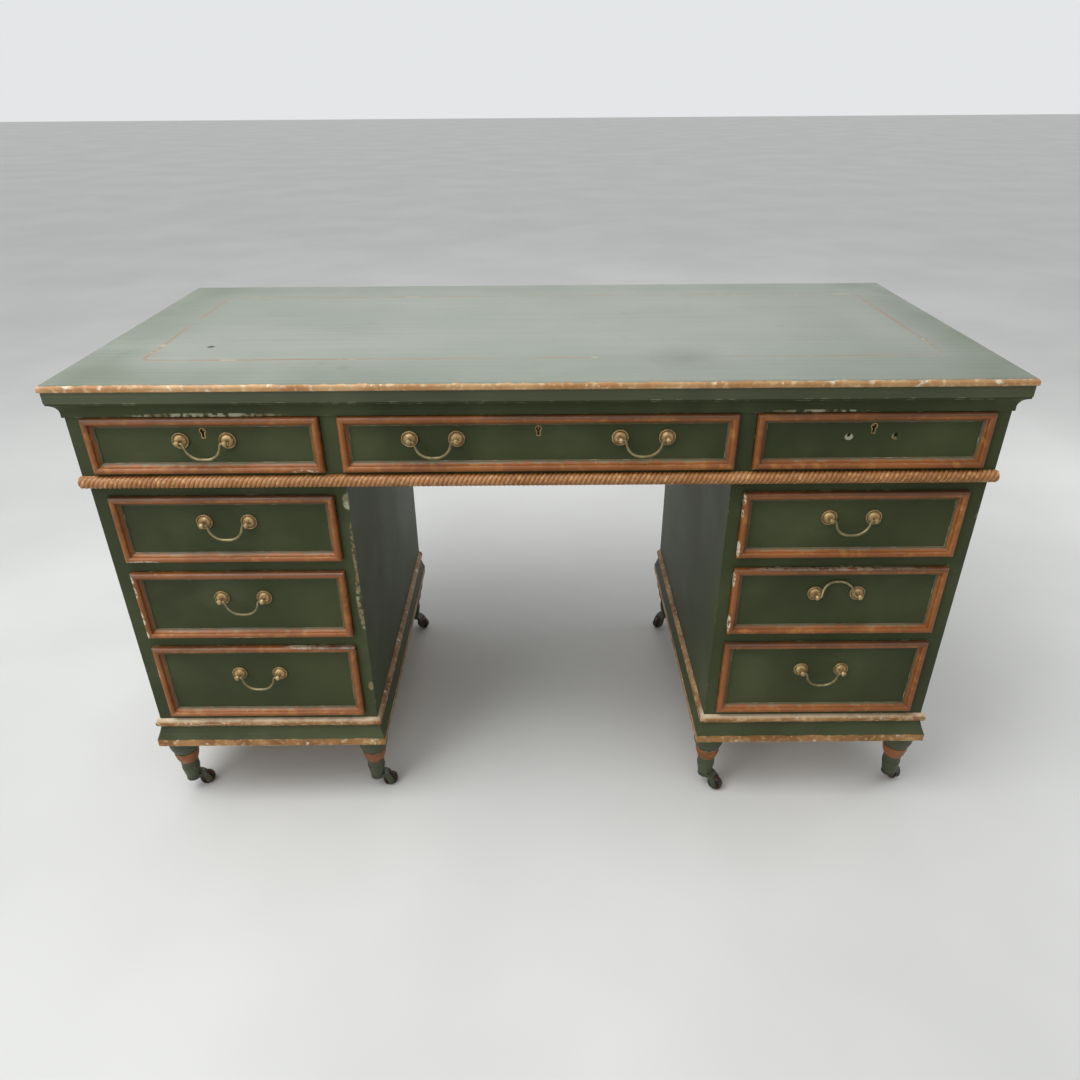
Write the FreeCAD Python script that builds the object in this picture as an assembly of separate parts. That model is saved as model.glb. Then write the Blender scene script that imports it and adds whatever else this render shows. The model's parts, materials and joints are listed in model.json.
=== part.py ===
import FreeCAD, Part
import math
import os

# Painted pedestal desk, in millimetres: +X to the right, +Y to the back, +Z up.
# The origin is on the floor under the middle of the top, and the drawers face -Y.

# Top board
desk_width = 1219.0
desk_depth = 544.0
top_thickness = 24.0
top_front_overhang = 17.0  # past the frieze
top_end_overhang = 15.0
top_back_overhang = 8.0
nosing_height = 9.5
nosing_upper_radius = 5.0
nosing_lower_radius = 2.0
fascia_setback = 2.5

# Cove cornice under the top
cornice_height = 22.0
cornice_projection = 12.5
cornice_foot_height = 4.0
cornice_foot_projection = 2.5
cornice_lip_height = 3.0
cove_bow_shares = (0.27, 0.66)  # out and up along the cove

# Frieze box
frieze_end_board = 19.0
frieze_back_board = 12.0
frieze_divider = 22.0
frieze_bottom_rail_height = 20.5
frieze_top_rail_height = 22.0
frieze_opening_height = 77.0
end_drawer_opening = 300.0
rail_depth = 45.0
runner_width = 16.0

# Rope moulding along the foot of the frieze
rope_diameter = 17.0
rope_projection = 11.0
rope_end_overhang = 4.0  # past the ends of the frieze
rope_end_radius = 4.0

# Pedestals
pedestal_front_inset = 4.5  # behind the frieze
pedestal_end_inset = 3.0
pedestal_width = 337.5
pedestal_inner_board = 17.0
pedestal_outer_board = 20.5
pedestal_back_board = 10.0
pedestal_top_board = 14.0
pedestal_bottom_board = 18.0
pedestal_top_rail_height = 14.5
pedestal_middle_rail_height = 16.5
pedestal_bottom_rail_height = 39.4
upper_opening_height = 101.0
middle_opening_height = 111.5
lower_opening_height = 131.1
peg_radius = 6.0
peg_depth = 14.0  # above and below the joint
peg_gap = 0.3

# Drawer stops, glued to the rails
stop_length = 30.0
stop_width = 12.0
stop_height = 5.0
stop_gap = 0.3
stop_place_shares = (0.3, 0.7)

# Plinth mouldings
plinth_bead_height = 14.5
plinth_bead_projection = 6.5
plinth_cove_height = 34.5
plinth_fillet_height = 12.5
plinth_projection = 9.5
plinth_neck_projection = 1.5
plinth_bow_shares = (0.3, 0.36)  # in from the neck and up the cove

# Drawers
drawer_gap = 0.8  # round each front
drawer_running_gap = 0.3
drawer_back_gap = 14.0
drawer_front_board = 18.0
drawer_side_board = 10.0
drawer_back_board = 10.0
drawer_bottom_board = 6.0
drawer_bottom_rise = 9.0
drawer_groove_depth = 4.0
drawer_side_drop = 3.0
drawer_back_drop = 6.0
dovetail_lap = 6.0
dovetail_pitch = 32.0
least_dovetails = 2
dovetail_width_share = 0.58
dovetail_slope_share = 0.14

# Moulding on the drawer fronts, as shares of its width and height
moulding_width = 13.5
moulding_height = 9.0
moulding_edge_share = 0.6
moulding_crown_shares = ((0.24, 0.98), (0.6, 0.8))
moulding_hollow_shares = ((0.72, 0.34), (1.0, 0.1))

# Drawer locks and keyholes
lock_width = 44.0
lock_height = 34.0
lock_depth = 10.0
lock_inlay = 7.0
lock_pin_radius = 1.3
lock_pin_length = 8.0
keyhole_drop = 19.0
keyhole_radius = 3.2
keyhole_slot_width = 3.2
keyhole_slot_length = 9.0
keyhole_wall = 1.0
keyhole_liner_depth = 3.0
bolt_mortise_width = 20.0
bolt_mortise_depth = 6.0
bolt_mortise_height = 8.0

# Swan-neck handles
handle_centres = 60.0
handle_height_share = 0.61  # up a pedestal drawer's front
frieze_handle_share = 0.585
handle_pair_share = 0.5286  # from the middle drawer's centre to its end
handle_hole_radius = 2.6
rosette_radius = 10.7
rosette_rim = 1.4
rosette_groove_radius = 9.4
rosette_groove_rise = 1.1
rosette_dome_radius = 8.6
rosette_dome_rise = 6.0
rosette_dome_shares = (0.35, 0.8)  # in and out along the dome
post_radius = 2.7
post_reach = 12.5  # drawer front to the bail's axis
eye_radius = 4.3
eye_width = 6.0
nut_width = 9.0
nut_thickness = 3.5
bolt_tip = 1.5
bolt_gap = 0.1
bail_radius = 1.9
bail_pin_gap = 0.12
bail_drop = 22.0
bail_grip_width = 36.0  # between the bends, before they are rounded
bail_tip = 1.6
bail_shoulder_radius = 3.0
bail_bow_share = 0.85  # of the largest round that fits between the arms
bail_rest_gap = 0.3

# Casters
wheel_radius = 12.0
wheel_width = 11.0
wheel_tread_radius = 3.0
wheel_hub_radius = 5.5
wheel_web_recess = 1.8
wheel_rim = 3.5
wheel_side_gap = 0.8
wheel_crown_gap = 1.3
axle_radius = 2.5
axle_gap = 0.1
axle_head = 1.2
horn_trail = 20.0
horn_cheek = 3.2
horn_eye_radius = 5.2
horn_crown_radius = 11.0
horn_crown_height = 6.5
horn_bow_shares = (0.5, 0.25)  # out and down along the horn's back
pivot_radius = 3.0
pivot_gap = 0.1
pivot_head_radius = 4.6
pivot_head_height = 1.5
swivel_gap = 0.3
cup_height = 20.0
cup_floor = 3.0
cup_wall = 1.5
cup_bottom_radius = 11.0
cup_top_radius = 14.2

# Turned feet
foot_outer_inset = 11.0  # from the pedestal's faces to the foot's axis
foot_inner_inset = 19.0
foot_front_inset = 27.0
foot_back_inset = 24.0
foot_height = 94.2  # caster cup's floor to the pedestal
foot_block_radius = 22.4
foot_block_height = 9.0
foot_bell_height = 29.0
foot_bell_radius = 18.2  # at its lower end
foot_bell_shares = (1.15, 0.4)  # out and up
foot_ring_radius = 19.0
foot_ring_height = 23.0
foot_ring_shares = (0.72, 0.42)
foot_neck_radius = 13.6
foot_dowel_radius = 6.0
foot_dowel_height = 14.0

# Where each caster trails at rest, in degrees from +X
caster_turns = {
    "left_front_outer": 36.0,
    "left_front_inner": 16.0,
    "left_back_inner": -15.0,
    "left_back_outer": -40.0,
    "right_front_inner": -32.0,
    "right_front_outer": 36.0,
    "right_back_inner": -150.0,
    "right_back_outer": 200.0,
}

overrun = 5.0  # how far a cutting shape runs past what it cuts

# Heights
wheel_top = wheel_radius + wheel_radius
crown_bottom = wheel_top
crown_top = crown_bottom + horn_crown_height
cup_bottom = crown_top + swivel_gap
pedestal_bottom = cup_bottom + foot_height
carcass_bottom = pedestal_bottom + pedestal_bottom_board
lower_opening_bottom = carcass_bottom + pedestal_bottom_rail_height
lower_opening_top = lower_opening_bottom + lower_opening_height
middle_opening_bottom = lower_opening_top + pedestal_middle_rail_height
middle_opening_top = middle_opening_bottom + middle_opening_height
upper_opening_bottom = middle_opening_top + pedestal_middle_rail_height
upper_opening_top = upper_opening_bottom + upper_opening_height
pedestal_top = upper_opening_top + pedestal_top_rail_height
frieze_opening_bottom = pedestal_top + frieze_bottom_rail_height
frieze_opening_top = frieze_opening_bottom + frieze_opening_height
frieze_top = frieze_opening_top + frieze_top_rail_height
desk_height = frieze_top + top_thickness

# Plan
top_half_width = desk_width / 2
top_front = -desk_depth / 2
top_back = desk_depth / 2
frieze_half_width = top_half_width - top_end_overhang
frieze_front = top_front + top_front_overhang
frieze_back = top_back - top_back_overhang
frieze_inner_back = frieze_back - frieze_back_board
frieze_inner_half = frieze_half_width - frieze_end_board
divider_outer = frieze_inner_half - end_drawer_opening
divider_inner = divider_outer - frieze_divider
handle_pair_spread = 2 * divider_inner * handle_pair_share
pedestal_outer = frieze_half_width - pedestal_end_inset
pedestal_inner = pedestal_outer - pedestal_width
pedestal_front = frieze_front + pedestal_front_inset
pedestal_inner_back = frieze_back - pedestal_back_board
pedestal_opening_inner = pedestal_inner + pedestal_inner_board
pedestal_opening_outer = pedestal_outer - pedestal_outer_board

vector = FreeCAD.Vector
across = vector(1, 0, 0)
back = vector(0, 1, 0)
up = vector(0, 0, 1)


def board(x_span, y_span, z_span):
    # A flat board between two values on each axis
    size = [abs(span[1] - span[0]) for span in (x_span, y_span, z_span)]
    return Part.makeBox(*size, vector(min(x_span), min(y_span), min(z_span)))


def outline(steps, place):
    # A face from plan points. A pair of points is an arc's middle and its end.
    edges = []
    here = steps[0]
    for step in steps[1:] + steps[:1]:
        if isinstance(step[0], tuple):
            middle, there = step
            edges.append(Part.Arc(place(here), place(middle), place(there)).toShape())
        else:
            there = step
            edges.append(Part.LineSegment(place(here), place(there)).toShape())
        here = there
    return Part.Face(Part.Wire(edges))


def on_front(point):
    return vector(point[0], 0, point[1])


def on_side(point):
    return vector(0, point[0], point[1])


def on_plan(point):
    return vector(point[0], point[1], 0)


def share_point(start, end, shares):
    # A point part of the way along each axis from start to end
    return tuple(a + (b - a) * share for a, b, share in zip(start, end, shares))


def moved(shape, x=0, y=0, z=0):
    copy = shape.copy()
    copy.translate(vector(x, y, z))
    return copy


def turned(shape, axis, angle, centre=vector(0, 0, 0)):
    copy = shape.copy()
    copy.rotate(centre, axis, angle)
    return copy


def mirrored(shape):
    return shape.mirror(vector(0, 0, 0), across)


def revolved(steps, axis=up):
    return outline(steps, on_front).revolve(vector(0, 0, 0), axis, 360)


def rod(radius, start, end):
    # A round bar between two points
    run = end - start
    return Part.makeCylinder(radius, run.Length, start, run)


def wall_strip(steps, reach, height, length, mitre_start, mitre_end):
    # A moulding along +X on a wall at y = 0 that it stands out from towards -Y.
    # A mitred end turns an outside corner, and the other kind is cut square.
    face = outline(steps, lambda point: vector(-reach, -point[0], point[1]))
    bar = face.extrude(across * (length + reach + reach))
    deep = reach + overrun
    plan = [
        (overrun if mitre_start else 0.0, overrun),
        (-deep if mitre_start else 0.0, -deep),
        (length + (deep if mitre_end else 0.0), -deep),
        (length - (overrun if mitre_end else 0.0), overrun),
    ]
    trim = outline(plan, on_plan).extrude(up * (height + overrun + overrun))
    return bar.common(moved(trim, z=-overrun))


def three_sided(steps, reach, height, x_span, front, rear):
    # The same moulding on the front and both ends of a box, mitred at the front corners
    width = x_span[1] - x_span[0]
    depth = rear - front
    face = wall_strip(steps, reach, height, width, True, True)
    left = wall_strip(steps, reach, height, depth, False, True)
    right = wall_strip(steps, reach, height, depth, True, False)
    return [
        moved(face, x_span[0], front),
        moved(turned(left, up, -90), x_span[0], rear),
        moved(turned(right, up, 90), x_span[1], front),
    ]


def rounded(shape, radius, pick):
    # Rounds the edges whose middle point is picked
    return shape.makeFillet(radius, [edge for edge in shape.Edges if pick(edge.CenterOfMass)])


def make_top():
    nosing_bottom = desk_height - nosing_height

    def on_upper(point):
        return point.z >= desk_height and point.y < top_back

    def on_lower(point):
        return point.z <= nosing_bottom and (point.y <= top_front or abs(point.x) >= top_half_width)

    nosing = board((-top_half_width, top_half_width), (top_front, top_back), (nosing_bottom, desk_height))
    nosing = rounded(nosing, nosing_upper_radius, on_upper)
    nosing = rounded(nosing, nosing_lower_radius, on_lower)
    fascia_half = top_half_width - fascia_setback
    fascia_depth = (top_front + fascia_setback, top_back)
    fascia = board((-fascia_half, fascia_half), fascia_depth, (frieze_top, nosing_bottom))
    return [nosing.fuse(fascia).removeSplitter()]


def make_cornice():
    lip_bottom = cornice_height - cornice_lip_height
    cove_start = (cornice_foot_projection, cornice_foot_height)
    cove_end = (cornice_projection, lip_bottom)
    steps = [
        (0.0, 0.0),
        (cornice_foot_projection, 0.0),
        cove_start,
        (share_point(cove_start, cove_end, cove_bow_shares), cove_end),
        (cornice_projection, cornice_height),
        (0.0, cornice_height),
    ]
    span = (-frieze_half_width, frieze_half_width)
    strips = three_sided(steps, cornice_projection, cornice_height, span, frieze_front, frieze_back)
    return [moved(strip, z=frieze_top - cornice_height) for strip in strips]


def make_rope():
    # A round bar flattened where it lies on the frieze, with rounded ends
    radius = rope_diameter / 2
    flat_half = math.sqrt(radius ** 2 - (rope_projection - radius) ** 2)
    steps = [
        (0.0, radius - flat_half),
        ((rope_projection, radius), (0.0, radius + flat_half)),
    ]
    half = frieze_half_width + rope_end_overhang
    bar = wall_strip(steps, rope_projection, rope_diameter, half + half, False, False)
    bar = moved(bar, -half, frieze_front, pedestal_top)
    return [rounded(bar, rope_end_radius, lambda point: abs(point.x) >= half and point.y < frieze_front)]


def drawer_stops(x_span, front, rail_top):
    start = front + drawer_front_board + stop_gap
    stops = []
    for share in stop_place_shares:
        middle = x_span[0] + (x_span[1] - x_span[0]) * share
        x_stop = (middle - stop_length / 2, middle + stop_length / 2)
        stops.append(board(x_stop, (start, start + stop_width), (rail_top, rail_top + stop_height)))
    return stops


def peg_places():
    # Where pegs locate the frieze on the right-hand pedestal
    middle = (pedestal_inner + pedestal_outer) / 2
    return [(middle, pedestal_front + rail_depth / 2), (middle, frieze_inner_back - rail_depth / 2)]


def frieze_openings():
    z_span = (frieze_opening_bottom, frieze_opening_top)
    return {
        "left_frieze": ((-frieze_inner_half, -divider_outer), z_span),
        "middle_frieze": ((-divider_inner, divider_inner), z_span),
        "right_frieze": ((divider_outer, frieze_inner_half), z_span),
    }


def make_frieze():
    inner = (-frieze_inner_half, frieze_inner_half)
    whole = (pedestal_top, frieze_top)
    lower = (pedestal_top, frieze_opening_bottom)
    upper = (frieze_opening_top, frieze_top)
    rail_back = frieze_front + rail_depth
    back_rail_front = frieze_inner_back - rail_depth
    end = board((frieze_inner_half, frieze_half_width), (frieze_front, frieze_back), whole)
    divider = board(
        (divider_inner, divider_outer),
        (frieze_front, frieze_inner_back),
        (frieze_opening_bottom, frieze_opening_top),
    )
    bottom_rail = board(inner, (frieze_front, rail_back), lower)
    back_rail = board(inner, (back_rail_front, frieze_inner_back), lower)
    top_rail = board(inner, (frieze_front, rail_back), upper)
    for x_span, z_span in frieze_openings().values():
        top_rail = top_rail.cut(bolt_mortise(sum(x_span) / 2))
    for x, y in peg_places():
        hole = moved(Part.makeCylinder(peg_radius + peg_gap, peg_depth + peg_gap), x, y, pedestal_top)
        bottom_rail = bottom_rail.cut(hole).cut(mirrored(hole))
        back_rail = back_rail.cut(hole).cut(mirrored(hole))
    solids = [board(inner, (frieze_inner_back, frieze_back), whole), bottom_rail, back_rail, top_rail]
    pairs = [end, divider]
    for x_span in (
        (frieze_inner_half - runner_width, frieze_inner_half),
        (divider_inner - runner_width, divider_outer + runner_width),
    ):
        pairs.append(board(x_span, (rail_back, back_rail_front), lower))
        pairs.append(board(x_span, (rail_back, frieze_inner_back), upper))
    for solid in pairs:
        solids += [solid, mirrored(solid)]
    for x_span, z_span in frieze_openings().values():
        solids += drawer_stops(x_span, frieze_front, z_span[0])
    return solids


def bolt_mortise(x):
    # The slot over a drawer lock that its bolt rises into
    start = frieze_front + drawer_front_board - lock_inlay + (lock_depth - bolt_mortise_depth) / 2
    return board(
        (x - bolt_mortise_width / 2, x + bolt_mortise_width / 2),
        (start, start + bolt_mortise_depth),
        (frieze_opening_top, frieze_opening_top + bolt_mortise_height),
    )


def pedestal_openings(side):
    # side is 1 for the right-hand pedestal and -1 for the left-hand one
    edges = (side * pedestal_opening_inner, side * pedestal_opening_outer)
    x_span = (min(edges), max(edges))
    return {
        "upper": (x_span, (upper_opening_bottom, upper_opening_top)),
        "middle": (x_span, (middle_opening_bottom, middle_opening_top)),
        "lower": (x_span, (lower_opening_bottom, lower_opening_top)),
    }


def foot_places():
    # Foot axes of the right-hand pedestal
    return {
        "front_inner": (pedestal_inner + foot_inner_inset, pedestal_front + foot_front_inset),
        "front_outer": (pedestal_outer - foot_outer_inset, pedestal_front + foot_front_inset),
        "back_inner": (pedestal_inner + foot_inner_inset, frieze_back - foot_back_inset),
        "back_outer": (pedestal_outer - foot_outer_inset, frieze_back - foot_back_inset),
    }


def make_pedestal():
    # The right-hand pedestal. The left-hand one is its mirror image.
    inner = (pedestal_opening_inner, pedestal_opening_outer)
    depth = (pedestal_front, frieze_back)
    whole = (carcass_bottom, pedestal_top)
    rail_back = pedestal_front + rail_depth
    behind_rails = (rail_back, pedestal_inner_back)
    bottom = board((pedestal_inner, pedestal_outer), depth, (pedestal_bottom, carcass_bottom))
    for x, y in foot_places().values():
        dowel = Part.makeCylinder(foot_dowel_radius, foot_dowel_height)
        bottom = bottom.cut(moved(dowel, x, y, pedestal_bottom))
    rails = [
        board(inner, (pedestal_front, rail_back), z_span)
        for z_span in (
            (upper_opening_top, pedestal_top),
            (middle_opening_top, upper_opening_bottom),
            (lower_opening_top, middle_opening_bottom),
            (carcass_bottom, lower_opening_bottom),
        )
    ]
    top = board(inner, behind_rails, (pedestal_top - pedestal_top_board, pedestal_top))
    pegs = []
    for x, y in peg_places():
        peg = moved(Part.makeCylinder(peg_radius, peg_depth + peg_depth), x, y, pedestal_top - peg_depth)
        rails[0] = rails[0].cut(peg)
        top = top.cut(peg)
        pegs.append(peg)
    solids = [
        board((pedestal_inner, inner[0]), depth, whole),
        board((inner[1], pedestal_outer), depth, whole),
        board(inner, (pedestal_inner_back, frieze_back), whole),
        bottom,
        top,
    ]
    for x_span, z_span in pedestal_openings(1).values():
        runner_z = (z_span[0] - pedestal_middle_rail_height, z_span[0])
        solids.append(board((inner[0], inner[0] + runner_width), behind_rails, runner_z))
        solids.append(board((inner[1] - runner_width, inner[1]), behind_rails, runner_z))
        solids += drawer_stops(x_span, pedestal_front, z_span[0])
    return solids + rails + pegs


def make_plinth():
    # A cove with a fillet below and a half-round bead above, on the right-hand pedestal
    cove_start = (plinth_projection, plinth_fillet_height)
    cove_end = (plinth_neck_projection, plinth_cove_height)
    base = [
        (0.0, 0.0),
        (plinth_projection, 0.0),
        cove_start,
        (share_point(cove_end, cove_start, plinth_bow_shares), cove_end),
        (0.0, plinth_cove_height),
    ]
    bead = [
        (0.0, 0.0),
        ((plinth_bead_projection, plinth_bead_height / 2), (0.0, plinth_bead_height)),
    ]
    span = (pedestal_inner, pedestal_outer)
    strips = []
    for steps, reach, height, bottom in (
        (base, plinth_projection, plinth_cove_height, pedestal_bottom),
        (bead, plinth_bead_projection, plinth_bead_height, pedestal_bottom + plinth_cove_height),
    ):
        for strip in three_sided(steps, reach, height, span, pedestal_front, frieze_back):
            strips.append(moved(strip, z=bottom))
    return strips


def cup_inside():
    # Radii of the cup's hollow at its floor and at its mouth
    return cup_bottom_radius - cup_wall, cup_top_radius - cup_wall


def make_cup():
    # A tapered cup with the pivot that the horn hangs and turns on
    floor_radius, mouth_radius = cup_inside()
    head_top = crown_bottom - swivel_gap
    head_bottom = head_top - pivot_head_height
    return revolved([
        (0.0, head_bottom),
        (pivot_head_radius, head_bottom),
        (pivot_head_radius, head_top),
        (pivot_radius, head_top),
        (pivot_radius, cup_bottom),
        (cup_bottom_radius, cup_bottom),
        (cup_top_radius, cup_bottom + cup_height),
        (mouth_radius, cup_bottom + cup_height),
        (floor_radius, cup_bottom + cup_floor),
        (0.0, cup_bottom + cup_floor),
    ])


def make_foot():
    floor_radius, mouth_radius = cup_inside()
    cup_top = cup_bottom + cup_height
    bell_top = (foot_block_radius, pedestal_bottom - foot_block_height)
    bell_bottom = (foot_bell_radius, bell_top[1] - foot_bell_height)
    ring_top = (foot_ring_radius, bell_bottom[1])
    ring_bottom = (foot_neck_radius, ring_top[1] - foot_ring_height)
    dowel_top = pedestal_bottom + foot_dowel_height
    return revolved([
        (0.0, cup_bottom + cup_floor),
        (floor_radius, cup_bottom + cup_floor),
        (mouth_radius, cup_top),
        (cup_top_radius, cup_top),
        ring_bottom,
        (share_point(ring_bottom, ring_top, foot_ring_shares), ring_top),
        bell_bottom,
        (share_point(bell_bottom, bell_top, foot_bell_shares), bell_top),
        (foot_block_radius, pedestal_bottom),
        (foot_dowel_radius, pedestal_bottom),
        (foot_dowel_radius, dowel_top),
        (0.0, dowel_top),
    ])


def caster_places():
    # Each caster's pivot on the floor plan
    places = {}
    for name, (x, y) in foot_places().items():
        places["left_" + name] = (-x, y)
        places["right_" + name] = (x, y)
    return places


def fork_half_width():
    return wheel_width / 2 + wheel_side_gap + horn_cheek


def make_horn():
    # Pivot on the Z axis, trailing along +X: a crown and two cheeks cut from one curved bar
    half = fork_half_width()
    crown_end = (horn_crown_radius, crown_top)
    eye_end = (horn_trail + horn_eye_radius, wheel_radius)
    steps = [
        (-horn_crown_radius, crown_bottom),
        (-horn_crown_radius, crown_top),
        crown_end,
        (share_point(crown_end, eye_end, horn_bow_shares), eye_end),
        ((horn_trail, wheel_radius - horn_eye_radius), (horn_trail - horn_eye_radius, wheel_radius)),
        (horn_crown_radius, crown_bottom),
    ]
    bar = outline(steps, on_front).extrude(back * (horn_crown_radius + horn_crown_radius))
    bar = moved(bar, y=-horn_crown_radius)
    crown = Part.makeCylinder(horn_crown_radius, crown_top + overrun)
    arms = board((0.0, horn_trail + horn_trail), (-half, half), (0.0, crown_top + overrun))
    slot_half = half - horn_cheek
    slot_start = vector(horn_trail, -slot_half, wheel_radius)
    slot_end = vector(horn_trail, slot_half, wheel_radius)
    wheel_room = rod(wheel_radius + wheel_crown_gap, slot_start, slot_end)
    pivot_hole = Part.makeCylinder(pivot_radius + pivot_gap, crown_top + overrun)
    axle = make_axle()
    horn = bar.common(crown.fuse(arms)).cut(wheel_room).cut(pivot_hole).cut(axle)
    return [horn, axle]


def make_axle():
    half = fork_half_width() + axle_head
    return rod(axle_radius, vector(horn_trail, -half, wheel_radius), vector(horn_trail, half, wheel_radius))


def make_wheel():
    # A dished wheel with a rounded tread, on the axle
    half = wheel_width / 2
    bore = axle_radius + axle_gap
    web = half - wheel_web_recess
    shoulder = wheel_radius - wheel_tread_radius
    round_share = math.sqrt(0.5)
    bend = (shoulder + wheel_tread_radius * round_share, half - wheel_tread_radius * (1 - round_share))
    edge = (wheel_radius, half - wheel_tread_radius)
    wheel = revolved([
        (bore, -half),
        (wheel_hub_radius, -half),
        (wheel_hub_radius, -web),
        (wheel_radius - wheel_rim, -web),
        (wheel_radius - wheel_rim, -half),
        (shoulder, -half),
        ((bend[0], -bend[1]), (edge[0], -edge[1])),
        edge,
        (bend, (shoulder, half)),
        (wheel_radius - wheel_rim, half),
        (wheel_radius - wheel_rim, web),
        (wheel_hub_radius, web),
        (wheel_hub_radius, half),
        (bore, half),
    ])
    return [moved(turned(wheel, across, 90), horn_trail, 0, wheel_radius)]


def make_post():
    # Bolt, rosette, stem and eye on one axis, which then points out of the drawer front.
    # The eye has flat sides and is bored across for the bail.
    bolt_radius = handle_hole_radius - bolt_gap
    bolt_end = -(drawer_front_board + nut_thickness + bolt_tip)
    eye_start = post_reach - math.sqrt(eye_radius ** 2 - post_radius ** 2)
    dome_start = (rosette_dome_radius, rosette_groove_rise)
    dome_end = (post_radius, rosette_dome_rise)
    rim_middle = ((rosette_radius + rosette_groove_radius) / 2, rosette_rim + rosette_rim)
    post = revolved([
        (0.0, bolt_end),
        (bolt_radius, bolt_end),
        (bolt_radius, 0.0),
        (rosette_radius, 0.0),
        (rosette_radius, rosette_rim),
        (rim_middle, (rosette_groove_radius, rosette_rim)),
        (rosette_groove_radius, rosette_groove_rise),
        dome_start,
        (share_point(dome_start, dome_end, rosette_dome_shares), dome_end),
        (post_radius, eye_start),
        ((eye_radius, post_reach), (0.0, post_reach + eye_radius)),
    ])
    tall = (eye_start, post_reach + eye_radius)
    wide = (-eye_radius, eye_radius)
    for side in (1, -1):
        post = post.cut(board((side * eye_width / 2, side * eye_radius), wide, tall))
    hole_ends = [vector(x, 0, post_reach) for x in wide]
    hole = rod(bail_radius + bail_pin_gap, *hole_ends)
    return turned(post.cut(hole), across, 90)


def make_nut():
    half = nut_width / 2
    nut_back = drawer_front_board + nut_thickness
    nut = board((-half, half), (drawer_front_board, nut_back), (-half, half))
    return nut.cut(rod(handle_hole_radius - bolt_gap, vector(0, 0, 0), vector(0, nut_back + overrun, 0)))


def bent_path(points, radii):
    # Straight runs between points, with each inner corner rounded to its radius
    edges = []
    here = points[0]
    for before, corner, after, radius in zip(points, points[1:], points[2:], radii):
        come = (corner - before).normalize()
        leave = (after - corner).normalize()
        turn = come.getAngle(leave)
        start = corner - come * (radius * math.tan(turn / 2))
        end = corner + leave * (radius * math.tan(turn / 2))
        inward = (leave - come).normalize()
        middle = corner + inward * (radius / math.cos(turn / 2) - radius)
        edges.append(Part.LineSegment(here, start).toShape())
        edges.append(Part.Arc(start, middle, end).toShape())
        here = end
    edges.append(Part.LineSegment(here, points[-1]).toShape())
    return Part.Wire(edges)


def make_bail():
    # Hangs from the X axis: a pin through each eye, short arms and a round bow
    tip = handle_centres / 2 + eye_width / 2 + bail_tip
    shoulder = handle_centres / 2 - eye_width / 2 - bail_shoulder_radius
    grip = bail_grip_width / 2
    points = [
        vector(-tip, 0, 0),
        vector(-shoulder, 0, 0),
        vector(-grip, 0, -bail_drop),
        vector(grip, 0, -bail_drop),
        vector(shoulder, 0, 0),
        vector(tip, 0, 0),
    ]
    bend = math.atan2(bail_drop, shoulder - grip)
    bow_radius = bail_bow_share * grip / math.tan(bend / 2)
    radii = [bail_shoulder_radius, bow_radius, bow_radius, bail_shoulder_radius]
    path = bent_path(points, radii)
    section = Part.Wire(Part.makeCircle(bail_radius, points[0], across))
    return path.makePipeShell([section], True, False)


def raised_bail_turn():
    # How far a bail turns from hanging until it leans on the drawer front
    lean = math.asin((post_reach - bail_radius - bail_rest_gap) / bail_drop)
    return 180 + math.degrees(lean)


def frame_strip(length):
    # One side of a drawer moulding along +X: its outer edge on z = 0, inward +Z, out -Y
    def shaped(shares):
        return moulding_width * shares[0], moulding_height * shares[1]

    crown_middle, crown_end = [shaped(shares) for shares in moulding_crown_shares]
    hollow_middle, hollow_end = [shaped(shares) for shares in moulding_hollow_shares]
    steps = [
        (0.0, 0.0),
        (0.0, moulding_height * moulding_edge_share),
        (crown_middle, crown_end),
        (hollow_middle, hollow_end),
        (moulding_width, 0.0),
    ]
    bar = outline(steps, lambda point: vector(0, -point[1], point[0])).extrude(across * length)
    deep = moulding_width + overrun
    front_view = [(-overrun, -overrun), (length + overrun, -overrun), (length - deep, deep), (deep, deep)]
    trim = outline(front_view, on_front).extrude(back * (moulding_height + overrun + overrun))
    return bar.common(moved(trim, y=-moulding_height - overrun))


def make_moulding(x_span, z_span, front):
    # Four mitred strips round a drawer front
    width = x_span[1] - x_span[0]
    height = z_span[1] - z_span[0]
    corners = [
        (width, x_span[0], z_span[0]),
        (height, x_span[1], z_span[0]),
        (width, x_span[1], z_span[1]),
        (height, x_span[0], z_span[1]),
    ]
    return [
        moved(turned(frame_strip(length), back, -90 * place), x, front, z)
        for place, (length, x, z) in enumerate(corners)
    ]


def front_spans(opening):
    # A drawer front's width and height inside its opening
    x_span, z_span = opening
    return (
        (x_span[0] + drawer_gap, x_span[1] - drawer_gap),
        (z_span[0] + drawer_gap, z_span[1] - drawer_gap),
    )


def make_tails(front, z_span):
    # Dovetails at the front end of a drawer's left-hand side, from x = 0
    height = z_span[1] - z_span[0]
    count = max(least_dovetails, round(height / dovetail_pitch))
    pitch = height / count
    root = front + drawer_front_board
    tip = front + dovetail_lap
    root_half = pitch * dovetail_width_share / 2
    tip_half = root_half + (root - tip) * dovetail_slope_share
    tails = []
    for place in range(count):
        middle = z_span[0] + pitch * place + pitch / 2
        steps = [
            (root, middle - root_half),
            (root, middle + root_half),
            (tip, middle + tip_half),
            (tip, middle - tip_half),
        ]
        tails.append(outline(steps, on_side).extrude(across * drawer_side_board))
    return tails


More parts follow.
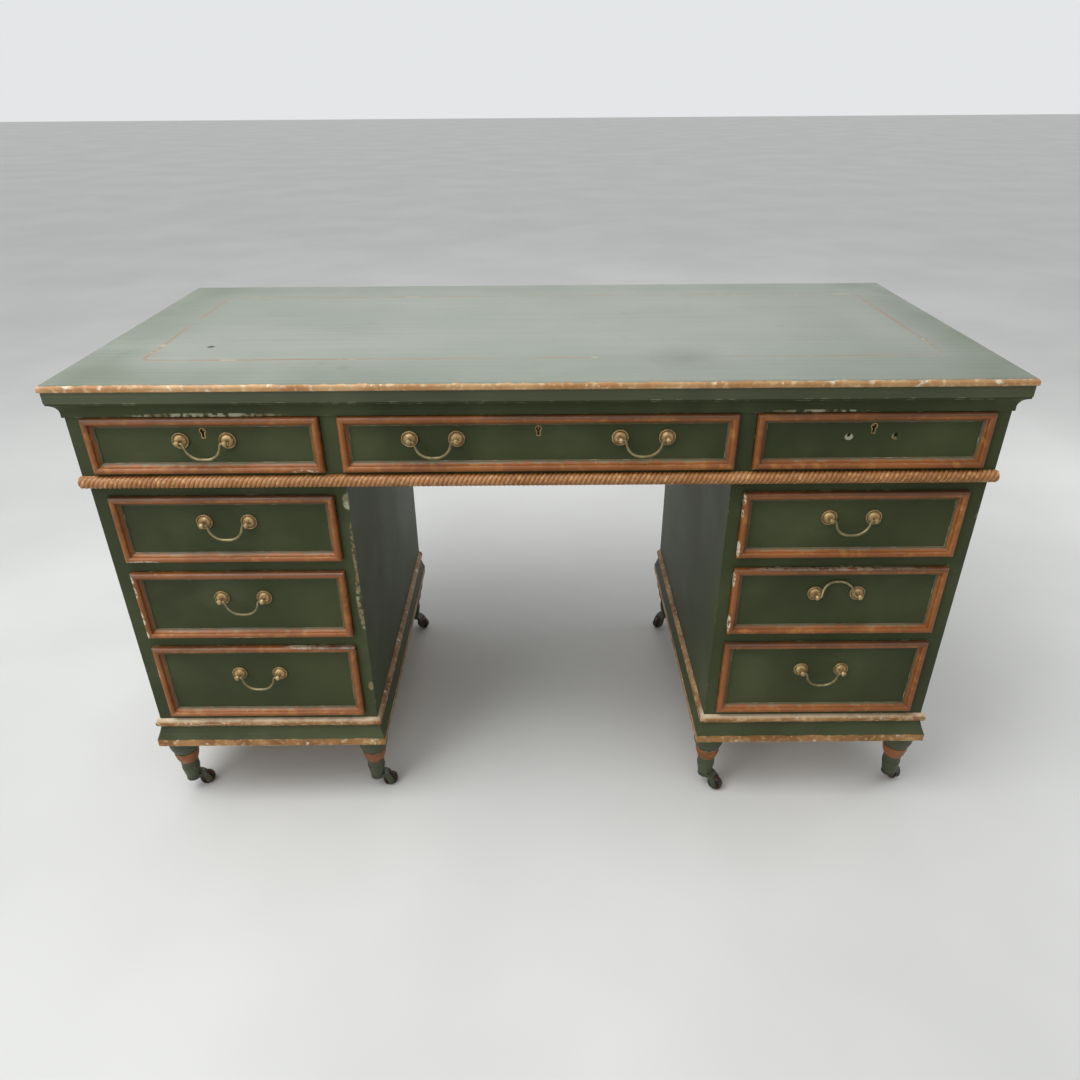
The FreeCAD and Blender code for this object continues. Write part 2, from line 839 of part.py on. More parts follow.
def make_drawer(opening, front, inner_back):
    # Front, two dovetailed sides, back and a bottom in grooves
    x_span, z_span = front_spans(opening)
    root = front + drawer_front_board
    rear = inner_back - drawer_back_gap
    side_z = (opening[1][0] + drawer_running_gap, z_span[1] - drawer_side_drop)
    inside = (x_span[0] + drawer_side_board, x_span[1] - drawer_side_board)
    floor_z = (side_z[0] + drawer_bottom_rise, side_z[0] + drawer_bottom_rise + drawer_bottom_board)
    floor_x = (inside[0] - drawer_groove_depth, inside[1] + drawer_groove_depth)
    floor = board(floor_x, (root - drawer_groove_depth, rear), floor_z)
    back_z = (floor_z[1], side_z[1] - drawer_back_drop)
    back_board = board(inside, (rear - drawer_back_board, rear), back_z)
    face = board(x_span, (front, root), z_span).cut(floor)
    sides = []
    for start in (x_span[0], inside[1]):
        tails = [moved(tail, start) for tail in make_tails(front, side_z)]
        side = board((start, start + drawer_side_board), (root, rear), side_z)
        face = face.cut(tails)
        sides.append(side.fuse(tails).removeSplitter().cut(floor))
    return [face] + sides + [back_board, floor]


def keyhole(x, z, front, wall, start, end):
    # A round hole with a slot below it, widened all round by wall, between two depths
    radius = keyhole_radius + wall
    slot_half = keyhole_slot_width / 2 + wall
    hole = rod(radius, vector(x, front + start, z), vector(x, front + end, z))
    slot_z = (z - keyhole_slot_length - wall, z)
    slot = board((x - slot_half, x + slot_half), (front + start, front + end), slot_z)
    return hole.fuse(slot).removeSplitter()


def lock_case(x, front_top, front):
    # Let into the back of a drawer front, flush with its upper edge
    case_front = front + drawer_front_board - lock_inlay
    return board(
        (x - lock_width / 2, x + lock_width / 2),
        (case_front, case_front + lock_depth),
        (front_top - lock_height, front_top),
    )


def make_lock(x, front_top, front):
    # Case with its key pin, and the keyhole's brass lining
    z = front_top - keyhole_drop
    case_front = front + drawer_front_board - lock_inlay
    pin = rod(lock_pin_radius, vector(x, case_front - lock_pin_length, z), vector(x, case_front, z))
    lining = keyhole(x, z, front, keyhole_wall, 0.0, keyhole_liner_depth)
    lining = lining.cut(keyhole(x, z, front, 0.0, -overrun, keyhole_liner_depth + overrun))
    return [lock_case(x, front_top, front).fuse(pin), lining]


def make_locked_front(face, x, front_top, front):
    # Cuts a drawer front for its lock and keyhole
    z = front_top - keyhole_drop
    face = face.cut(lock_case(x, front_top, front))
    face = face.cut(keyhole(x, z, front, keyhole_wall, 0.0, keyhole_liner_depth))
    return face.cut(keyhole(x, z, front, 0.0, 0.0, drawer_front_board))


def all_drawers():
    # Every drawer by name: its opening, the plane of its front, the back that it stops short of,
    # the middles of its handles, whether they are fitted, and whether it locks
    drawers = {}
    for name, opening in frieze_openings().items():
        middle = sum(opening[0]) / 2
        handles = [("", middle)]
        if name == "middle_frieze":
            handles = [
                ("left_", middle - handle_pair_spread / 2),
                ("right_", middle + handle_pair_spread / 2),
            ]
        drawers[name] = (opening, frieze_front, frieze_inner_back, handles, name != "right_frieze", True)
    for side_name, side in (("left", -1), ("right", 1)):
        for place, opening in pedestal_openings(side).items():
            middle = sum(opening[0]) / 2
            name = side_name + "_" + place
            drawers[name] = (opening, pedestal_front, pedestal_inner_back, [("", middle)], True, False)
    return drawers


def handle_height(opening, share):
    z_span = front_spans(opening)[1]
    return z_span[0] + (z_span[1] - z_span[0]) * share


def drawer_nodes(name, opening, front, inner_back, handles, fitted, locks):
    x_span, z_span = front_spans(opening)
    height = handle_height(opening, frieze_handle_share if locks else handle_height_share)
    solids = make_drawer(opening, front, inner_back)
    fittings = []
    nodes = {}
    for prefix, middle in handles:
        for x in (middle - handle_centres / 2, middle + handle_centres / 2):
            hole_ends = [vector(x, y, height) for y in (front, front + drawer_front_board)]
            solids[0] = solids[0].cut(rod(handle_hole_radius, *hole_ends))
            if fitted:
                fittings += [moved(make_post(), x, front, height), moved(make_nut(), x, front, height)]
        if fitted:
            bail = make_bail()
            if name == "right_middle":
                bail = turned(bail, across, -raised_bail_turn())
            nodes[name + "_drawer_" + prefix + "bail"] = [moved(bail, middle, front - post_reach, height)]
    if locks:
        middle = sum(x_span) / 2
        solids[0] = make_locked_front(solids[0], middle, z_span[1], front)
        fittings += make_lock(middle, z_span[1], front)
    nodes[name + "_drawer"] = solids
    nodes[name + "_drawer_moulding"] = make_moulding(x_span, z_span, front)
    nodes[name + "_drawer_brassware"] = fittings
    return nodes


def all_nodes():
    pedestal = make_pedestal()
    plinth = make_plinth()
    nodes = {
        "desk_top": make_top(),
        "cornice_moulding": make_cornice(),
        "frieze_carcass": make_frieze(),
        "rope_moulding": make_rope(),
        "right_pedestal_carcass": pedestal,
        "left_pedestal_carcass": [mirrored(solid) for solid in pedestal],
        "plinth_mouldings": plinth + [mirrored(solid) for solid in plinth],
        "turned_feet": [],
    }
    for name, drawer in all_drawers().items():
        nodes.update(drawer_nodes(name, *drawer))
    for name, (x, y) in caster_places().items():
        nodes["turned_feet"] += [moved(make_foot(), x, y), moved(make_cup(), x, y)]
        turn = caster_turns[name]
        for piece, solids in (("horn", make_horn()), ("wheel", make_wheel())):
            nodes[name + "_caster_" + piece] = [moved(turned(solid, up, turn), x, y) for solid in solids]
    return nodes


def main():
    os.makedirs("parts", exist_ok=True)
    nodes = all_nodes()
    for name, solids in nodes.items():
        Part.makeCompound(solids).exportStep("parts/" + name + ".step")
    print(len(nodes), "nodes, height", desk_height)


if __name__ == "__main__":
    main()
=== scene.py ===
import bmesh
import bpy
import json
import math
from mathutils import Matrix, Vector


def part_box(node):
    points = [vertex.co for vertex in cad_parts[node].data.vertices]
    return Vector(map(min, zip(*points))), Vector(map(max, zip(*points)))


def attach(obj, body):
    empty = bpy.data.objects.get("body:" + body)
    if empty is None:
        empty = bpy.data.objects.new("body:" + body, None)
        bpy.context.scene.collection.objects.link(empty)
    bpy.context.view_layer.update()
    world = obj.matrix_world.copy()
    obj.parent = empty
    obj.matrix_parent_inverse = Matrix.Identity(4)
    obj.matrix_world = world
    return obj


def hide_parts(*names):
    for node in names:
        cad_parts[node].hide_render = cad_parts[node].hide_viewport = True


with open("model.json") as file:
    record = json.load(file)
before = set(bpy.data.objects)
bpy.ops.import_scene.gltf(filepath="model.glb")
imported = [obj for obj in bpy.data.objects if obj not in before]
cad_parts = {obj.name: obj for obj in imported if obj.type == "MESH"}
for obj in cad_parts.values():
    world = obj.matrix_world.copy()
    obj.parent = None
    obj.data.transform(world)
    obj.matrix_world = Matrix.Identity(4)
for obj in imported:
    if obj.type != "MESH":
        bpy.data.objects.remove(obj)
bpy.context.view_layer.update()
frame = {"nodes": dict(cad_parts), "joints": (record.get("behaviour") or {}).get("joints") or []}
nodes = frame["nodes"]
mm = 0.001
eased = {"interpolation_type": "SMOOTHSTEP"}  # for a range with soft ends
print("frame loaded:", len(nodes), "nodes")


def linear(hexColour):
    # sRGB hex to the linear colour that shaders take
    parts = [int(hexColour[i:i + 2], 16) / 255 for i in (1, 3, 5)]
    parts = [c / 12.92 if c <= 0.04045 else ((c + 0.055) / 1.055) ** 2.4 for c in parts]
    return (*parts, 1.0)


def add(tree, kind, inputs=(), out=0, **settings):
    # One node with its settings; inputs by place or name are linked if sockets and set if values
    prefix = "" if kind.startswith(("GeometryNode", "NodeGroup")) else "ShaderNode"
    node = tree.nodes.new(prefix + kind)
    for name, value in settings.items():
        setattr(node, name, value)
    for key, value in inputs.items() if isinstance(inputs, dict) else enumerate(inputs):
        if isinstance(value, bpy.types.NodeSocket):
            tree.links.new(value, node.inputs[key])
        else:
            node.inputs[key].default_value = value
    return node.outputs[out]


# Patterns that several finishes share, each giving a mask from 0 to 1

def blotches(tree, place, size, low, high, most=1.0, detail=3.0):
    # Soft patches about this many millimetres across
    noise = add(tree, "TexNoise", {"Vector": place, "Scale": 1 / (size * mm), "Detail": detail})
    return add(tree, "MapRange", [noise, low, high, 0.0, most], **eased)


def marksAlong(tree, place, length, width, low, high, most=1.0, sideAxis=2):
    # Brush marks or grain along X, and along another axis on faces that look sideways
    facing = add(tree, "NewGeometry", out="True Normal")
    sideways = add(tree, "Math", [add(tree, "SeparateXYZ", [facing])], operation="ABSOLUTE")
    sideways = add(tree, "Math", [sideways, 0.6], operation="GREATER_THAN")
    fine, coarse = 1 / (width * mm), 1 / (length * mm)
    level = add(tree, "VectorMath", [place, (coarse, fine, fine)], operation="MULTIPLY")
    turned = [coarse if axis == sideAxis else fine for axis in range(3)]
    turned = add(tree, "VectorMath", [place, turned], operation="MULTIPLY")
    along = add(tree, "Mix", {0: sideways, 4: level, 5: turned}, 1, data_type="VECTOR")
    noise = {"Vector": along, "Scale": 1.0, "Detail": 3.0, "Distortion": 0.4}
    noise = add(tree, "TexNoise", noise)
    return add(tree, "MapRange", [noise, low, high, 0.0, most], **eased)


def knockedEdges(tree, place, reach, size, low=0.5, high=0.58, spots=()):
    # Where a finish has come off: edges within this reach, broken into patches, and ragged spots
    rounded = add(tree, "Bevel", {"Radius": reach * mm}, samples=4)
    flat = add(tree, "NewGeometry", out="True Normal")
    lean = add(tree, "VectorMath", [rounded, flat], "Value", operation="DOT_PRODUCT")
    edge = add(tree, "MapRange", [lean, 0.98, 0.84], **eased)
    patches = blotches(tree, place, size, low, high, detail=5.0)
    worn = add(tree, "Math", [edge, patches], operation="MULTIPLY")
    ragged = blotches(tree, place, 7, 0.4, 0.54, 0.9)
    for middle, reaches in spots:
        off = [at * mm for at in middle]
        off = add(tree, "VectorMath", [place, off], operation="SUBTRACT")
        off = add(tree, "VectorMath", [off, [at * mm for at in reaches]], operation="DIVIDE")
        off = add(tree, "VectorMath", [off], "Value", operation="LENGTH")
        near = add(tree, "MapRange", [off, 1.0, 0.75], **eased)
        near = add(tree, "Math", [near, ragged], operation="MULTIPLY")
        worn = add(tree, "Math", [worn, near], operation="MAXIMUM")
    return worn


def upFacingPatches(tree, place, most, size=45, lean=0.25):
    # More of it on what faces up, in patches, from this lean of the surface: dust with painted
    # highlight, and a darkening
    facing = add(tree, "NewGeometry", out="Normal")
    up = add(tree, "SeparateXYZ", [facing], 2)
    up = add(tree, "MapRange", [up, lean, lean + 0.5], **eased)
    patches = blotches(tree, place, size, 0.2, 0.6, most)
    return add(tree, "Math", [up, patches], operation="MULTIPLY")


# A layer of finish is its colour, roughness and height

def overLayer(tree, mask, under, over):
    # The second layer covers the first where the mask is 1
    colour = {0: mask, 6: under["colour"], 7: over["colour"]}
    layer = {"colour": add(tree, "Mix", colour, 2, data_type="RGBA")}
    for part in ("rough", "height"):
        layer[part] = add(tree, "Mix", {0: mask, 2: under[part], 3: over[part]})
    return layer


def tinted(tree, layer, mask, colour):
    # The layer with a plain colour over it
    shade = {0: mask, 6: layer["colour"], 7: linear(colour)}
    return dict(layer, colour=add(tree, "Mix", shade, 2, data_type="RGBA"))


def startFinish(name):
    material = bpy.data.materials.new(name)
    material.use_nodes = True
    tree = material.node_tree
    return material, tree, add(tree, "TexCoord", out="Object")


def endFinish(material, layer, relief=0.2, edgeRound=0.0, specular=0.5, metallic=0.0):
    # Joins a layer to the shader, with its height as relief and edges softened by a small round
    tree = material.node_tree
    shader = tree.nodes["Principled BSDF"]
    bump = {"Strength": 1.0, "Distance": relief * mm, "Height": layer["height"]}
    if edgeRound:
        bump["Normal"] = add(tree, "Bevel", {"Radius": edgeRound * mm}, samples=4)
    tree.links.new(layer["colour"], shader.inputs["Base Color"])
    tree.links.new(layer["rough"], shader.inputs["Roughness"])
    tree.links.new(add(tree, "Bump", bump), shader.inputs["Normal"])
    shader.inputs["Specular IOR Level"].default_value = specular
    shader.inputs["Metallic"].default_value = metallic
    return material


greenPaint = {
    "deep": "#333a21", "fair": "#42492d", "scuffed": "#575d42",
    "undercoat": "#b3b398", "wood": "#8a7d5c",
    "patch": 170, "scuff": 90, "edgeReach": 1.5, "chip": 13, "speck": 5, "speckGroup": 120,
    "undercoatPatch": 40,
    "brushLength": 150, "brushWidth": 4,  # coarser than real bristle marks, so that they show
    "relief": 0.1, "edgeRound": 0.8, "specular": 0.2, "lap": 1.7, "lapFade": 0.7,
    "spots": (  # middle and reach of each large chip
        ((-415, -260, 673), (110, 30, 3)), ((350, -260, 673), (70, 30, 2)),
        ((-255, -251, 470), (4, 5, 50)), ((-255, -251, 385), (7, 6, 55)),
        ((-255, -251, 548), (8, 6, 14)), ((-257, -251, 235), (5, 5, 9)),
        ((395.5, -255, 637), (6, 4, 5)), ((455.5, -255, 637), (6, 4, 5)),
        ((592, -251, 520), (4, 6, 5)),
    ),
}


def greenLayer(tree, place, values=greenPaint):
    # Oil paint brushed on pine: a dull sheen, faint brush marks, scuffs, pale undercoat on edges
    tone = blotches(tree, place, values["patch"], 0.3, 0.7)
    marks = marksAlong(tree, place, values["brushLength"], values["brushWidth"], 0.4, 0.75)
    layer = {
        "colour": linear(values["deep"]),
        "rough": add(tree, "MapRange", [tone, 0.0, 1.0, 0.48, 0.6]),
        "height": marks,
    }
    layer = tinted(tree, layer, tone, values["fair"])
    scuffs = blotches(tree, place, values["scuff"], 0.45, 0.8, 0.45, 6.0)
    layer = tinted(tree, layer, scuffs, values["scuffed"])
    bare = {
        "colour": linear(values["wood"]),
        "rough": add(tree, "MapRange", [marks, 0.0, 1.0, 0.65, 0.8]),
        "height": add(tree, "Math", [marks, 1.0], operation="SUBTRACT"),
    }
    primed = blotches(tree, place, values["undercoatPatch"], 0.45, 0.55)
    bare = tinted(tree, bare, primed, values["undercoat"])
    reach, chip = values["edgeReach"], values["chip"]
    worn = knockedEdges(tree, place, reach, chip, 0.56, 0.62, values["spots"])
    specks = blotches(tree, place, values["speck"], 0.76, 0.8, 0.8)
    grouped = blotches(tree, place, values["speckGroup"], 0.52, 0.62)
    specks = add(tree, "Math", [specks, grouped], operation="MULTIPLY")
    worn = add(tree, "Math", [worn, specks], operation="MAXIMUM")
    return overLayer(tree, worn, layer, bare)


def giltLayer(tree, place, values):
    # Bronze-gold paint over brown size, rubbed bright in places, with painted glints, white gesso
    # where it has flaked
    rubbed = blotches(tree, place, values["patch"], 0.3, 0.7)
    layer = {
        "colour": linear(values["brown"]),
        "rough": add(tree, "MapRange", [rubbed, 0.0, 1.0, 0.55, 0.36]),
        "height": blotches(tree, place, values["lump"], 0.3, 0.7),
    }
    layer = tinted(tree, layer, rubbed, values["gold"])
    # Specks of bright gold: painted glints, as the gilt is not metallic
    specks = blotches(tree, place, values["speck"], 0.5, 0.72, 0.7)
    layer = tinted(tree, layer, specks, values["bright"])
    flakeFrom = values["flakeFrom"]
    flaked = blotches(tree, place, values["flake"], flakeFrom, flakeFrom + 0.08, 0.85, 5.0)
    worn = knockedEdges(tree, place, values["edgeReach"], values["chip"], spots=values["spots"])
    gone = add(tree, "Math", [flaked, worn], operation="MAXIMUM")
    layer["height"] = add(tree, "Math", [layer["height"], gone], operation="SUBTRACT")
    return tinted(tree, layer, gone, values["gesso"])


barePine = {
    "early": "#b08d60", "late": "#977246", "aged": "#7a5c3a", "stain": "#6d5335",
    "ringLength": 900, "ring": 14, "stainPatch": 90, "edgeRound": 0.6,
    "fibreLength": 50, "fibre": 1.4,  # coarser than real fibres, so that they show
}


def pineLayer(tree, place, values=barePine):
    # Planed pine browned with age: long wavy rings and short dark fibres along the board
    length, width = values["ringLength"], values["ring"]
    rings = marksAlong(tree, place, length, width, 0.3, 0.7, sideAxis=1)
    length, width = values["fibreLength"], values["fibre"]
    fibres = marksAlong(tree, place, length, width, 0.5, 0.75, 0.4, sideAxis=1)
    layer = {
        "colour": linear(values["early"]),
        "rough": add(tree, "MapRange", [fibres, 0.0, 0.5, 0.62, 0.8]),
        "height": fibres,
    }
    layer = tinted(tree, layer, rings, values["late"])
    stains = blotches(tree, place, values["stainPatch"], 0.5, 0.8, 0.4, 4.0)
    layer = tinted(tree, layer, stains, values["stain"])
    return tinted(tree, layer, fibres, values["aged"])


def makeGreenFinish(values=greenPaint):
    material, tree, place = startFinish("brushed_green_oil_paint")
    layer = greenLayer(tree, place)
    return endFinish(material, layer, values["relief"], values["edgeRound"], values["specular"])


def makePineFinish():
    material, tree, place = startFinish("planed_pine")
    return endFinish(material, pineLayer(tree, place), edgeRound=barePine["edgeRound"])


def makeDrawerFinish(values=greenPaint):
    # Bare pine box, painted on the front and lapped a little round its edges
    material, tree, place = startFinish("pine_with_painted_front")
    depth = add(tree, "SeparateXYZ", [place], 1)
    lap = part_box("left_upper_drawer")[0].y + values["lap"] * mm
    painted = add(tree, "MapRange", [depth, lap, lap - values["lapFade"] * mm])
    layer = overLayer(tree, painted, pineLayer(tree, place), greenLayer(tree, place))
    return endFinish(material, layer, values["relief"], values["edgeRound"], values["specular"])


topPaint = {
    "sage": "#7c8477", "pale": "#8f938a", "border": "#58644f", "stain": "#5b6154",
    "line": "#8d6848", "lineCream": "#c2b48c", "knot": "#211c15",
    "patch": 240, "stainPatch": 55, "brushLength": 300, "brushWidth": 6,
    "lineMiddle": (8, 9), "lineHalf": (531, 179), "lineWidth": 4.5, "lineCorner": 14,
    "lineWander": 1.2, "wanderLength": 60, "lineKept": 70, "linePale": 35,
    "borderFade": (-50, 75), "endFade": (-40, 50), "borderPatch": 130,
    "knotAt": (-452.5, -107.4), "knotSize": 6.0,
    "smudgeAt": (192.0, -172.0), "smudgeSize": 75.0, "smudgePatch": 40,
}


def outsideLine(tree, place, values):
    # How far outside the line's rounded rectangle a point lies, and how far past its ends
    corner = values["lineCorner"] * mm
    parts = add(tree, "SeparateXYZ", [place]).node.outputs
    past = []
    for part, middle, half in zip(parts, values["lineMiddle"], values["lineHalf"]):
        off = add(tree, "Math", [part, middle * mm], operation="SUBTRACT")
        off = add(tree, "Math", [off], operation="ABSOLUTE")
        past.append(add(tree, "Math", [off, half * mm - corner], operation="SUBTRACT"))
    flat = add(tree, "CombineXYZ", past)
    clear = add(tree, "VectorMath", [flat, (0, 0, 0)], operation="MAXIMUM")
    clear = add(tree, "VectorMath", [clear], "Value", operation="LENGTH")
    within = add(tree, "Math", past, operation="MAXIMUM")
    within = add(tree, "Math", [within, 0.0], operation="MINIMUM")
    away = add(tree, "Math", [clear, within])
    wander = values["lineWander"] * mm
    shaky = {"Vector": place, "Scale": 1 / (values["wanderLength"] * mm), "Detail": 2.0}
    shaky = add(tree, "TexNoise", shaky)
    shaky = add(tree, "MapRange", [shaky, 0.3, 0.7, -corner - wander, wander - corner])
    return add(tree, "Math", [away, shaky]), past[0]


def roundMark(tree, place, middle, size, solid):
    # A round mark on the top, full within this share of its size
    flat = add(tree, "VectorMath", [place, (1, 1, 0)], operation="MULTIPLY")
    middle = (middle[0] * mm, middle[1] * mm, 0.0)
    away = add(tree, "VectorMath", [flat, middle], "Value", operation="DISTANCE")
    ends = [size * mm, size * solid * mm]
    return add(tree, "MapRange", [away] + ends, **eased)


def sageLayer(tree, place, values=topPaint):
    # Eggshell paint bleached by light and rubbed by use, greener outside a hand-drawn line
    tone = blotches(tree, place, values["patch"], 0.3, 0.7, detail=4.0)
    marks = marksAlong(tree, place, values["brushLength"], values["brushWidth"], 0.35, 0.8)
    layer = {
        "colour": linear(values["sage"]),
        "rough": add(tree, "MapRange", [tone, 0.0, 1.0, 0.32, 0.42]),
        "height": marks,
    }
    layer = tinted(tree, layer, tone, values["pale"])
    faint = add(tree, "Math", [marks, 0.22], operation="MULTIPLY")
    layer = tinted(tree, layer, faint, values["border"])
    stains = blotches(tree, place, values["stainPatch"], 0.6, 0.8, 0.35, 5.0)
    layer = tinted(tree, layer, stains, values["stain"])
    away, pastEnds = outsideLine(tree, place, values)
    fade = [end * mm for end in values["borderFade"]]
    border = add(tree, "MapRange", [away] + fade + [0.0, 0.85], **eased)
    fade = [end * mm for end in values["endFade"]]
    ends = add(tree, "MapRange", [pastEnds] + fade + [0.5, 1.0], **eased)
    for part in (ends, blotches(tree, place, values["borderPatch"], 0.1, 0.7)):
        border = add(tree, "Math", [border, part], operation="MULTIPLY")
    layer = tinted(tree, layer, border, values["border"])
    width = values["lineWidth"] * mm
    line = add(tree, "Math", [away], operation="ABSOLUTE")
    line = add(tree, "MapRange", [line, width * 0.6, width * 0.35], **eased)
    kept = blotches(tree, place, values["lineKept"], 0.3, 0.55, 0.75, 5.0)
    kept = add(tree, "Math", [line, kept], operation="MULTIPLY")
    layer = tinted(tree, layer, kept, values["line"])
    pale = blotches(tree, place, values["linePale"], 0.6, 0.68, 0.6, 4.0)
    pale = add(tree, "Math", [line, pale], operation="MULTIPLY")
    layer = tinted(tree, layer, pale, values["lineCream"])
    smudge = roundMark(tree, place, values["smudgeAt"], values["smudgeSize"], 0.0)
    uneven = blotches(tree, place, values["smudgePatch"], 0.2, 0.6, 0.55)
    smudge = add(tree, "Math", [smudge, uneven], operation="MULTIPLY")
    layer = tinted(tree, layer, smudge, values["stain"])
    knot = roundMark(tree, place, values["knotAt"], values["knotSize"], 0.6)
    layer["height"] = add(tree, "Math", [layer["height"], knot], operation="SUBTRACT")
    return tinted(tree, layer, knot, values["knot"])


nosingGilt = {
    "gold": "#c49c6b", "brown": "#a2723f", "bright": "#ddc49c", "gesso": "#e6dbc2",
    "patch": 60, "speck": 8, "flake": 12, "flakeFrom": 0.62, "edgeReach": 1.4, "chip": 12,
    "lump": 6, "spots": (), "raggedEdge": 14, "foot": 707.6,
}


def makeTopFinish():
    # Faded top, gilt along the rounded nosing, and dark green on the fascia under it
    material, tree, place = startFinish("faded_eggshell_and_gilt_nosing")
    height = add(tree, "SeparateXYZ", [place], 2)
    facing = add(tree, "NewGeometry", out="Normal")
    lean = add(tree, "SeparateXYZ", [facing], 2)
    turned = add(tree, "SeparateXYZ", [facing], 1)
    ragged = blotches(tree, place, nosingGilt["raggedEdge"], 0.3, 0.7, 0.1, 5.0)
    ragged = add(tree, "Math", [lean, ragged])
    nosing = add(tree, "MapRange", [ragged, 1.0, 0.94])
    forward = add(tree, "MapRange", [turned, 0.6, 0.4])
    nosing = add(tree, "Math", [nosing, forward], operation="MULTIPLY")
    layer = overLayer(tree, nosing, sageLayer(tree, place), giltLayer(tree, place, nosingGilt))
    foot = nosingGilt["foot"]
    fascia = add(tree, "MapRange", [height, (foot + 0.3) * mm, (foot - 0.3) * mm])
    return endFinish(material, overLayer(tree, fascia, layer, greenLayer(tree, place)))


mouldingGilt = {
    "gold": "#96571f", "brown": "#774213", "bright": "#ab7032", "gesso": "#d9cdb2",
    "dust": "#8b8a76", "grime": "#49301f", "glue": "#2c1f14",
    "patch": 90, "speck": 14, "flake": 9, "flakeFrom": 0.72, "edgeReach": 1.3, "chip": 20,
    "lump": 6, "raggedEdge": 14, "grimePatch": 150,
    "spots": (
        ((-569, -257, 430), (4, 8, 10)), ((-569, -257, 411), (4, 8, 11)),
        ((-569, -257, 366), (4, 8, 14)), ((-569, -257, 338), (4, 8, 7)),
        ((-570, -257, 268), (3, 8, 12)), ((-545, -256, 460), (28, 9, 4)),
        ((272, -257, 549), (3, 8, 9)), ((272, -257, 528), (2, 8, 7)),
        ((272, -257, 474), (3, 8, 14)), ((272, -257, 425), (2, 8, 14)),
        ((272, -257, 350), (3, 8, 16)), ((420, -256, 441), (140, 9, 2)),
        ((-300, -260, 597), (22, 9, 4)), ((-320, -256, 313), (60, 9, 3)),
        ((-430, -257, 331), (30, 9, 3)),
    ),
}


def makeMouldingFinish(values=mouldingGilt):
    # Brown-gold on the crown, darker in the hollow beside the panel, glue lines in the mitres
    material, tree, place = startFinish("brown_gilt_drawer_moulding")
    across = add(tree, "Attribute", out="Fac", attribute_name="across")
    mitre = add(tree, "Attribute", out="Fac", attribute_name="mitre")
    rise = add(tree, "Attribute", out="Fac", attribute_name="rise")
    ragged = blotches(tree, place, values["raggedEdge"], 0.3, 0.7, 0.14)
    ragged = add(tree, "Math", [across, ragged])
    hollow = add(tree, "MapRange", [ragged, 0.8, 0.95, 0.0, 0.8], **eased)
    layer = overLayer(tree, hollow, giltLayer(tree, place, values), greenLayer(tree, place))
    # Pale where the hollow faces up: dust, and a painted highlight where it faces the light
    dust = add(tree, "Math", [upFacingPatches(tree, place, 0.8), hollow], operation="MULTIPLY")
    layer = tinted(tree, layer, dust, values["dust"])
    # Darker on the outer, upward-facing side of the upper strips
    outer = add(tree, "MapRange", [across, 0.75, 0.45], **eased)
    aloft = add(tree, "MapRange", [rise, 0.5, 0.85], **eased)
    grime = upFacingPatches(tree, place, 0.85, values["grimePatch"], -0.1)
    for part in (outer, aloft):
        grime = add(tree, "Math", [grime, part], operation="MULTIPLY")
    layer = tinted(tree, layer, grime, values["grime"])
    seam = add(tree, "MapRange", [mitre, 0.3, 0.0, 0.0, 0.75], **eased)
    return endFinish(material, tinted(tree, layer, seam, values["glue"]))


ropeGilt = {
    "gold": "#b87e47", "brown": "#98632f", "bright": "#d9a86a", "gesso": "#e6d8bc",
    "dirt": "#54331a",
    "patch": 60, "speck": 7, "flake": 10, "flakeFrom": 0.7, "edgeReach": 0.8, "chip": 15,
    "lump": 6, "spots": (),
}


def makeRopeFinish():
    # Carved pine with gold rubbed on the strands and the grooves darkened: dirt and painted shade
    material, tree, place = startFinish("carved_gilt_rope")
    groove = add(tree, "Attribute", out="Fac", attribute_name="groove")
    # The grooves darkened: dirt and painted shade
    dirt = add(tree, "MapRange", [groove, 0.3, 0.85], **eased)
    layer = giltLayer(tree, place, ropeGilt)
    return endFinish(material, tinted(tree, layer, dirt, ropeGilt["dirt"]))


plinthGilt = {
    "gold": "#b18450", "brown": "#875a2f", "bright": "#d6b686", "gesso": "#e6dcc7",
    "dust": "#d8cab0",
    "patch": 45, "speck": 9, "flake": 14, "flakeFrom": 0.62, "edgeReach": 1.6, "chip": 18,
    "lump": 6, "spots": (), "beadFrom": 159.3, "stripUpTo": 137.6, "raggedEdge": 15, "ragged": 1.2,
    "dustFrom": -200, "dustFull": -248, "specular": 0.25,
}


def makePlinthFinish(values=plinthGilt):
    # Gilt bead at the top and a gilt strip along the lower edge, green in the hollow between
    material, tree, place = startFinish("gilt_and_green_plinth")
    depth = add(tree, "SeparateXYZ", [place], 1)
    height = add(tree, "SeparateXYZ", [place], 2)
    ragged = blotches(tree, place, values["raggedEdge"], 0.3, 0.7, values["ragged"] * mm)
    ragged = add(tree, "Math", [height, ragged])
    start, end = values["beadFrom"] * mm, values["stripUpTo"] * mm
    bead = add(tree, "MapRange", [ragged, start, start + 0.6 * mm])
    strip = add(tree, "MapRange", [ragged, end + 1.0 * mm, end])
    gilt = add(tree, "Math", [bead, strip], operation="MAXIMUM")
    layer = overLayer(tree, gilt, greenLayer(tree, place), giltLayer(tree, place, values))
    # Pale on the top of the bead, most of it along the front: dust and a painted highlight
    nearFront = [values["dustFrom"] * mm, values["dustFull"] * mm, 0.15, 1.0]
    dust = upFacingPatches(tree, place, 0.75)
    for part in (bead, add(tree, "MapRange", [depth] + nearFront)):
        dust = add(tree, "Math", [dust, part], operation="MULTIPLY")
    layer = tinted(tree, layer, dust, values["dust"])
    return endFinish(material, layer, specular=values["specular"])


footGilt = dict(mouldingGilt, spots=(), bandFrom=64.5, bandUpTo=87.0)


